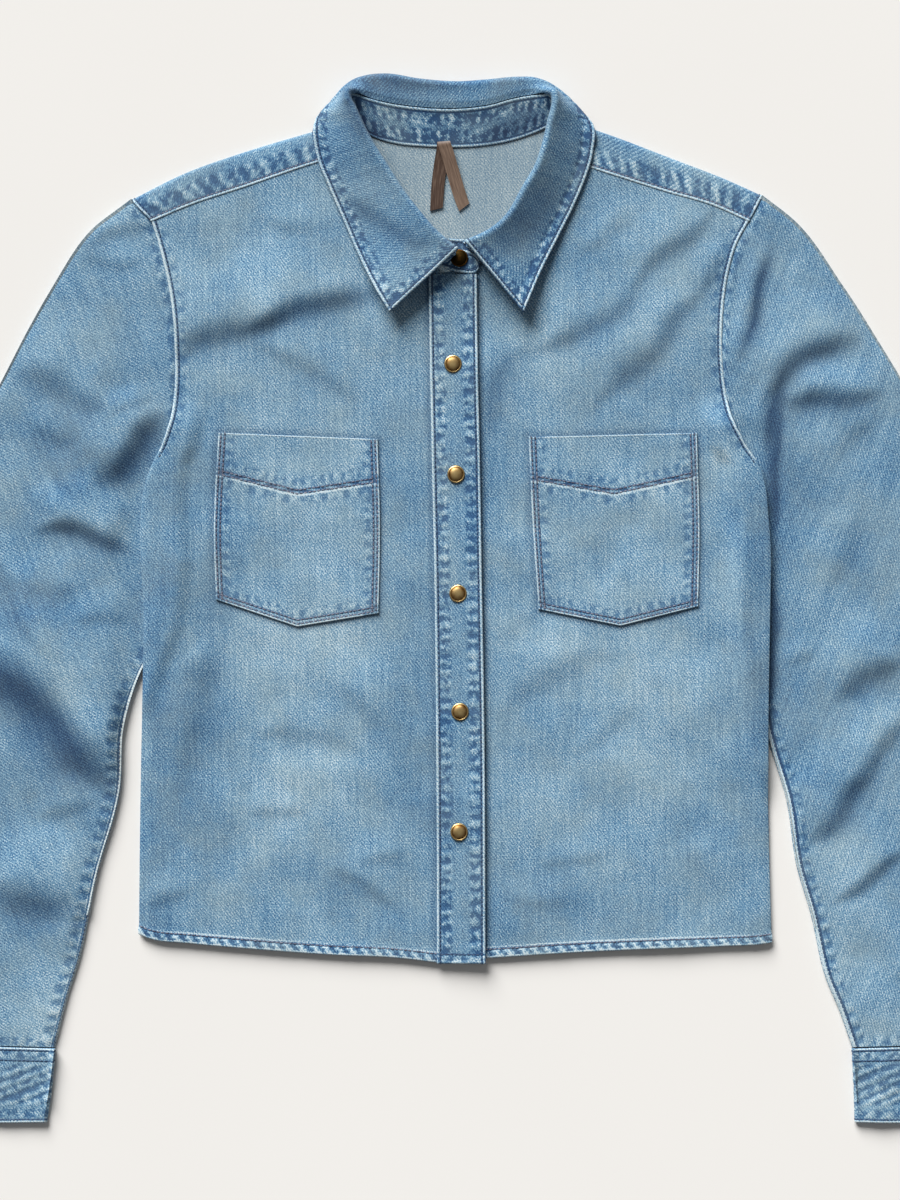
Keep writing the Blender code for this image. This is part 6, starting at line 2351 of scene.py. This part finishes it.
@dataclass
class Snap:
    """A domed snap cap with a rim and a groove."""

    name: str
    spot: At
    height: float
    # Painted shade, added to the patina of the whole cap.
    painted_cap_shade: float = 0.0
    radius: float = 6.15
    rim: float = 1.0
    rim_patina: float = 0.6
    segments: int = 40
    steps: tuple[tuple[float, float, float], ...] = (  # inset, rise, patina
        (0.35, 0.3, 0.0), (0.35, 0.12, 0.0), (0.3, -0.22, 0.35), (0.3, 0.25, 0.5),
        (0.6, 0.5, 0.42), (0.9, 0.35, 0.3), (1.2, 0.2, 0.2), (1.2, 0.08, 0.1),
    )

    def build(self, material: Material) -> Object:
        """Models the cap from a disc, inset and raised in steps.

        Args:
            material: Its finish.

        Returns:
            The cap.
        """
        bpy.ops.object.select_all(action="DESELECT")
        bpy.ops.mesh.primitive_cylinder_add(
            vertices=self.segments, radius=self.radius * MM, depth=self.rim * MM,
            location=(self.spot.x * MM, self.spot.y * MM, (self.height + self.rim / 2) * MM),
        )
        obj = bpy.context.object
        bpy.ops.object.mode_set(mode="EDIT")
        bpy.ops.mesh.select_all(action="DESELECT")
        bm = bmesh.from_edit_mesh(obj.data)
        for face in bm.faces:
            face.select = face.normal.z > 0.9
        bmesh.update_edit_mesh(obj.data)
        for inset, rise, _ in self.steps:
            bpy.ops.mesh.inset(thickness=inset * MM)
            bpy.ops.transform.translate(value=(0.0, 0.0, rise * MM))
        bpy.ops.object.mode_set(mode="OBJECT")
        bpy.ops.object.transform_apply(location=True, rotation=True, scale=True)
        bpy.ops.object.shade_smooth_by_angle(angle=math.radians(50))
        mesh = obj.data
        mesh.name = self.name
        bpy.data.objects.remove(obj)
        self.mark(mesh)
        return place_piece(f"{self.name}_cap", mesh, material, self.name)

    def mark(self, mesh: Mesh) -> None:
        """Writes how much patina each ring of the cap has, and the cap's painted shade.

        Args:
            mesh: The cap's mesh, in place.
        """
        radii = np.r_[0.0, np.cumsum([step[0] for step in self.steps])]
        amounts = np.r_[self.rim_patina, [step[2] for step in self.steps]]
        points = np.array([v.co for v in mesh.vertices], float) / MM
        away = np.linalg.norm(points[:, :2] - np.array(self.spot), axis=1)
        # Patina of the rings, plus the cap's painted shade.
        values = np.interp(self.radius - away, radii, amounts) + self.painted_cap_shade
        mark_points(mesh, "patina", values)


@dataclass
class Snaps:
    """All the caps: on the placket, on the stand's tab and on the cuffs."""

    placket: tuple[At, ...] = (
        At(-2.1, 165.4), At(0.0, 88.2), At(1.4, 4.9), At(2.8, -77.7), At(2.1, -161.7),
    )
    stand: At = At(2.3, 239.3)
    stand_z: float = 6.8
    # Painted shade on the stand's cap, which lies in the shadow of the collar.
    stand_painted_cap_shade: float = 0.56
    cuff_inset: float = 24.0

    def build(self, shop: Workshop) -> None:
        """Makes the caps.

        Args:
            shop: What it is made with.
        """
        brass = shop.finishes["brass"]
        heights = shop.drape.placket(np.array(self.placket))
        for i, (spot, height) in enumerate(zip(self.placket, heights)):
            Snap(f"snap_{i + 1}", spot, float(height)).build(brass)
        Snap("snap_6", self.stand, self.stand_z, self.stand_painted_cap_shade).build(brass)
        for side in Side:
            middle = CUFFS[side][1]
            spot = At(middle.outer.x - side.value * self.cuff_inset, middle.outer.y)
            Snap(f"snap_cuff_{side.name.lower()}", spot, 2 * BAND + GAP + 0.6).build(brass)
        LOG.info("snaps: %d caps", len(self.placket) + 3)


@dataclass
class Studio:
    """Floor, soft light from the upper left, and the camera straight above."""

    floor_size: float = 6.0
    key_strength: float = 5.35
    key_spread: float = 36.0  # degrees that the light is wide
    key_elevation: float = 30.0
    key_azimuth: float = 112.0  # from +X towards +Y
    fill_strength: float = 0.17
    lens: float = 85.0
    sensor: float = 36.0
    frame_height: float = 0.840  # what the long side of the picture covers
    plane: float = 0.004  # the height where it does
    aim: At = At(-4.2, 0.35)

    def build(self) -> None:
        """Sets up floor, lights and camera."""
        bpy.ops.object.select_all(action="DESELECT")
        bpy.ops.mesh.primitive_plane_add(size=self.floor_size, location=(0.0, 0.0, -0.0003))
        floor = bpy.context.object
        floor.name = "floor"
        bpy.ops.object.transform_apply(location=True, rotation=True, scale=True)
        floor.data.materials.append(Paper().build())
        sun = bpy.data.lights.new("key", "SUN")
        sun.energy, sun.angle = self.key_strength, math.radians(self.key_spread)
        key = bpy.data.objects.new("key", sun)
        azimuth, elevation = math.radians(self.key_azimuth), math.radians(self.key_elevation)
        towards = Vector((math.cos(azimuth) * math.cos(elevation),
                          math.sin(azimuth) * math.cos(elevation), math.sin(elevation)))
        key.rotation_euler = towards.to_track_quat("Z", "Y").to_euler()
        world = bpy.data.worlds.new("studio")
        world.use_nodes = True
        shade = world.node_tree.nodes["Background"]
        shade.inputs["Color"].default_value = linear("#f4f6fa")
        shade.inputs["Strength"].default_value = self.fill_strength
        camera_data = bpy.data.cameras.new("camera")
        camera_data.lens, camera_data.sensor_width = self.lens, self.sensor
        camera = bpy.data.objects.new("camera", camera_data)
        distance = self.frame_height * self.lens / self.sensor
        camera.location = (self.aim.x * MM, self.aim.y * MM, self.plane + distance)
        for obj in (key, camera):
            bpy.context.scene.collection.objects.link(obj)
        scene = bpy.context.scene
        scene.camera = camera
        scene.world = world
        scene.view_settings.view_transform = "Standard"


def main() -> None:
    """Builds the shirt piece by piece, then the studio."""
    logging.basicConfig(level=logging.INFO, format="%(message)s")
    outline = Outline()
    finishes = {
        "body": Denim("denim_body", fade=0.52, mottle=0.6).build(),
        "sleeve": Denim("denim_sleeve", fade=0.48, mottle=0.9).build(),
        "yoke": Denim("denim_yoke", fade=0.48, mottle=1.2).build(),
        "band": Denim("denim_placket", fade=0.47, mottle=1.5).build(),
        "pocket": Denim("denim_pocket", fade=0.51, mottle=0.7).build(),
        "cuff": Denim("denim_cuff", fade=0.5, mottle=1.3).build(),
        "stand": Denim("denim_stand", fade=0.44, mottle=2.2, blotch_mm=4.6).build(),
        "leaf": Denim("denim_leaf", fade=0.42, mottle=1.9).build(),
        "satin": Satin().build(),
        "brass": Brass().build(),
    }
    shop = Workshop(outline, Drape(outline), Sewing(), finishes)
    Back().build(shop)
    for side in Side:
        Sleeve(side).build(shop)
        Cuff(side).build(shop)
    Yoke().build(shop)
    for side in Side:
        Front(side).build(shop)
        Pocket(side).build(shop)
    Placket().build(shop)
    Stand().build(shop)
    Leaf().build(shop)
    Label().build(shop)
    Snaps().build(shop)
    Studio().build()


if __name__ == "__main__":
    main()
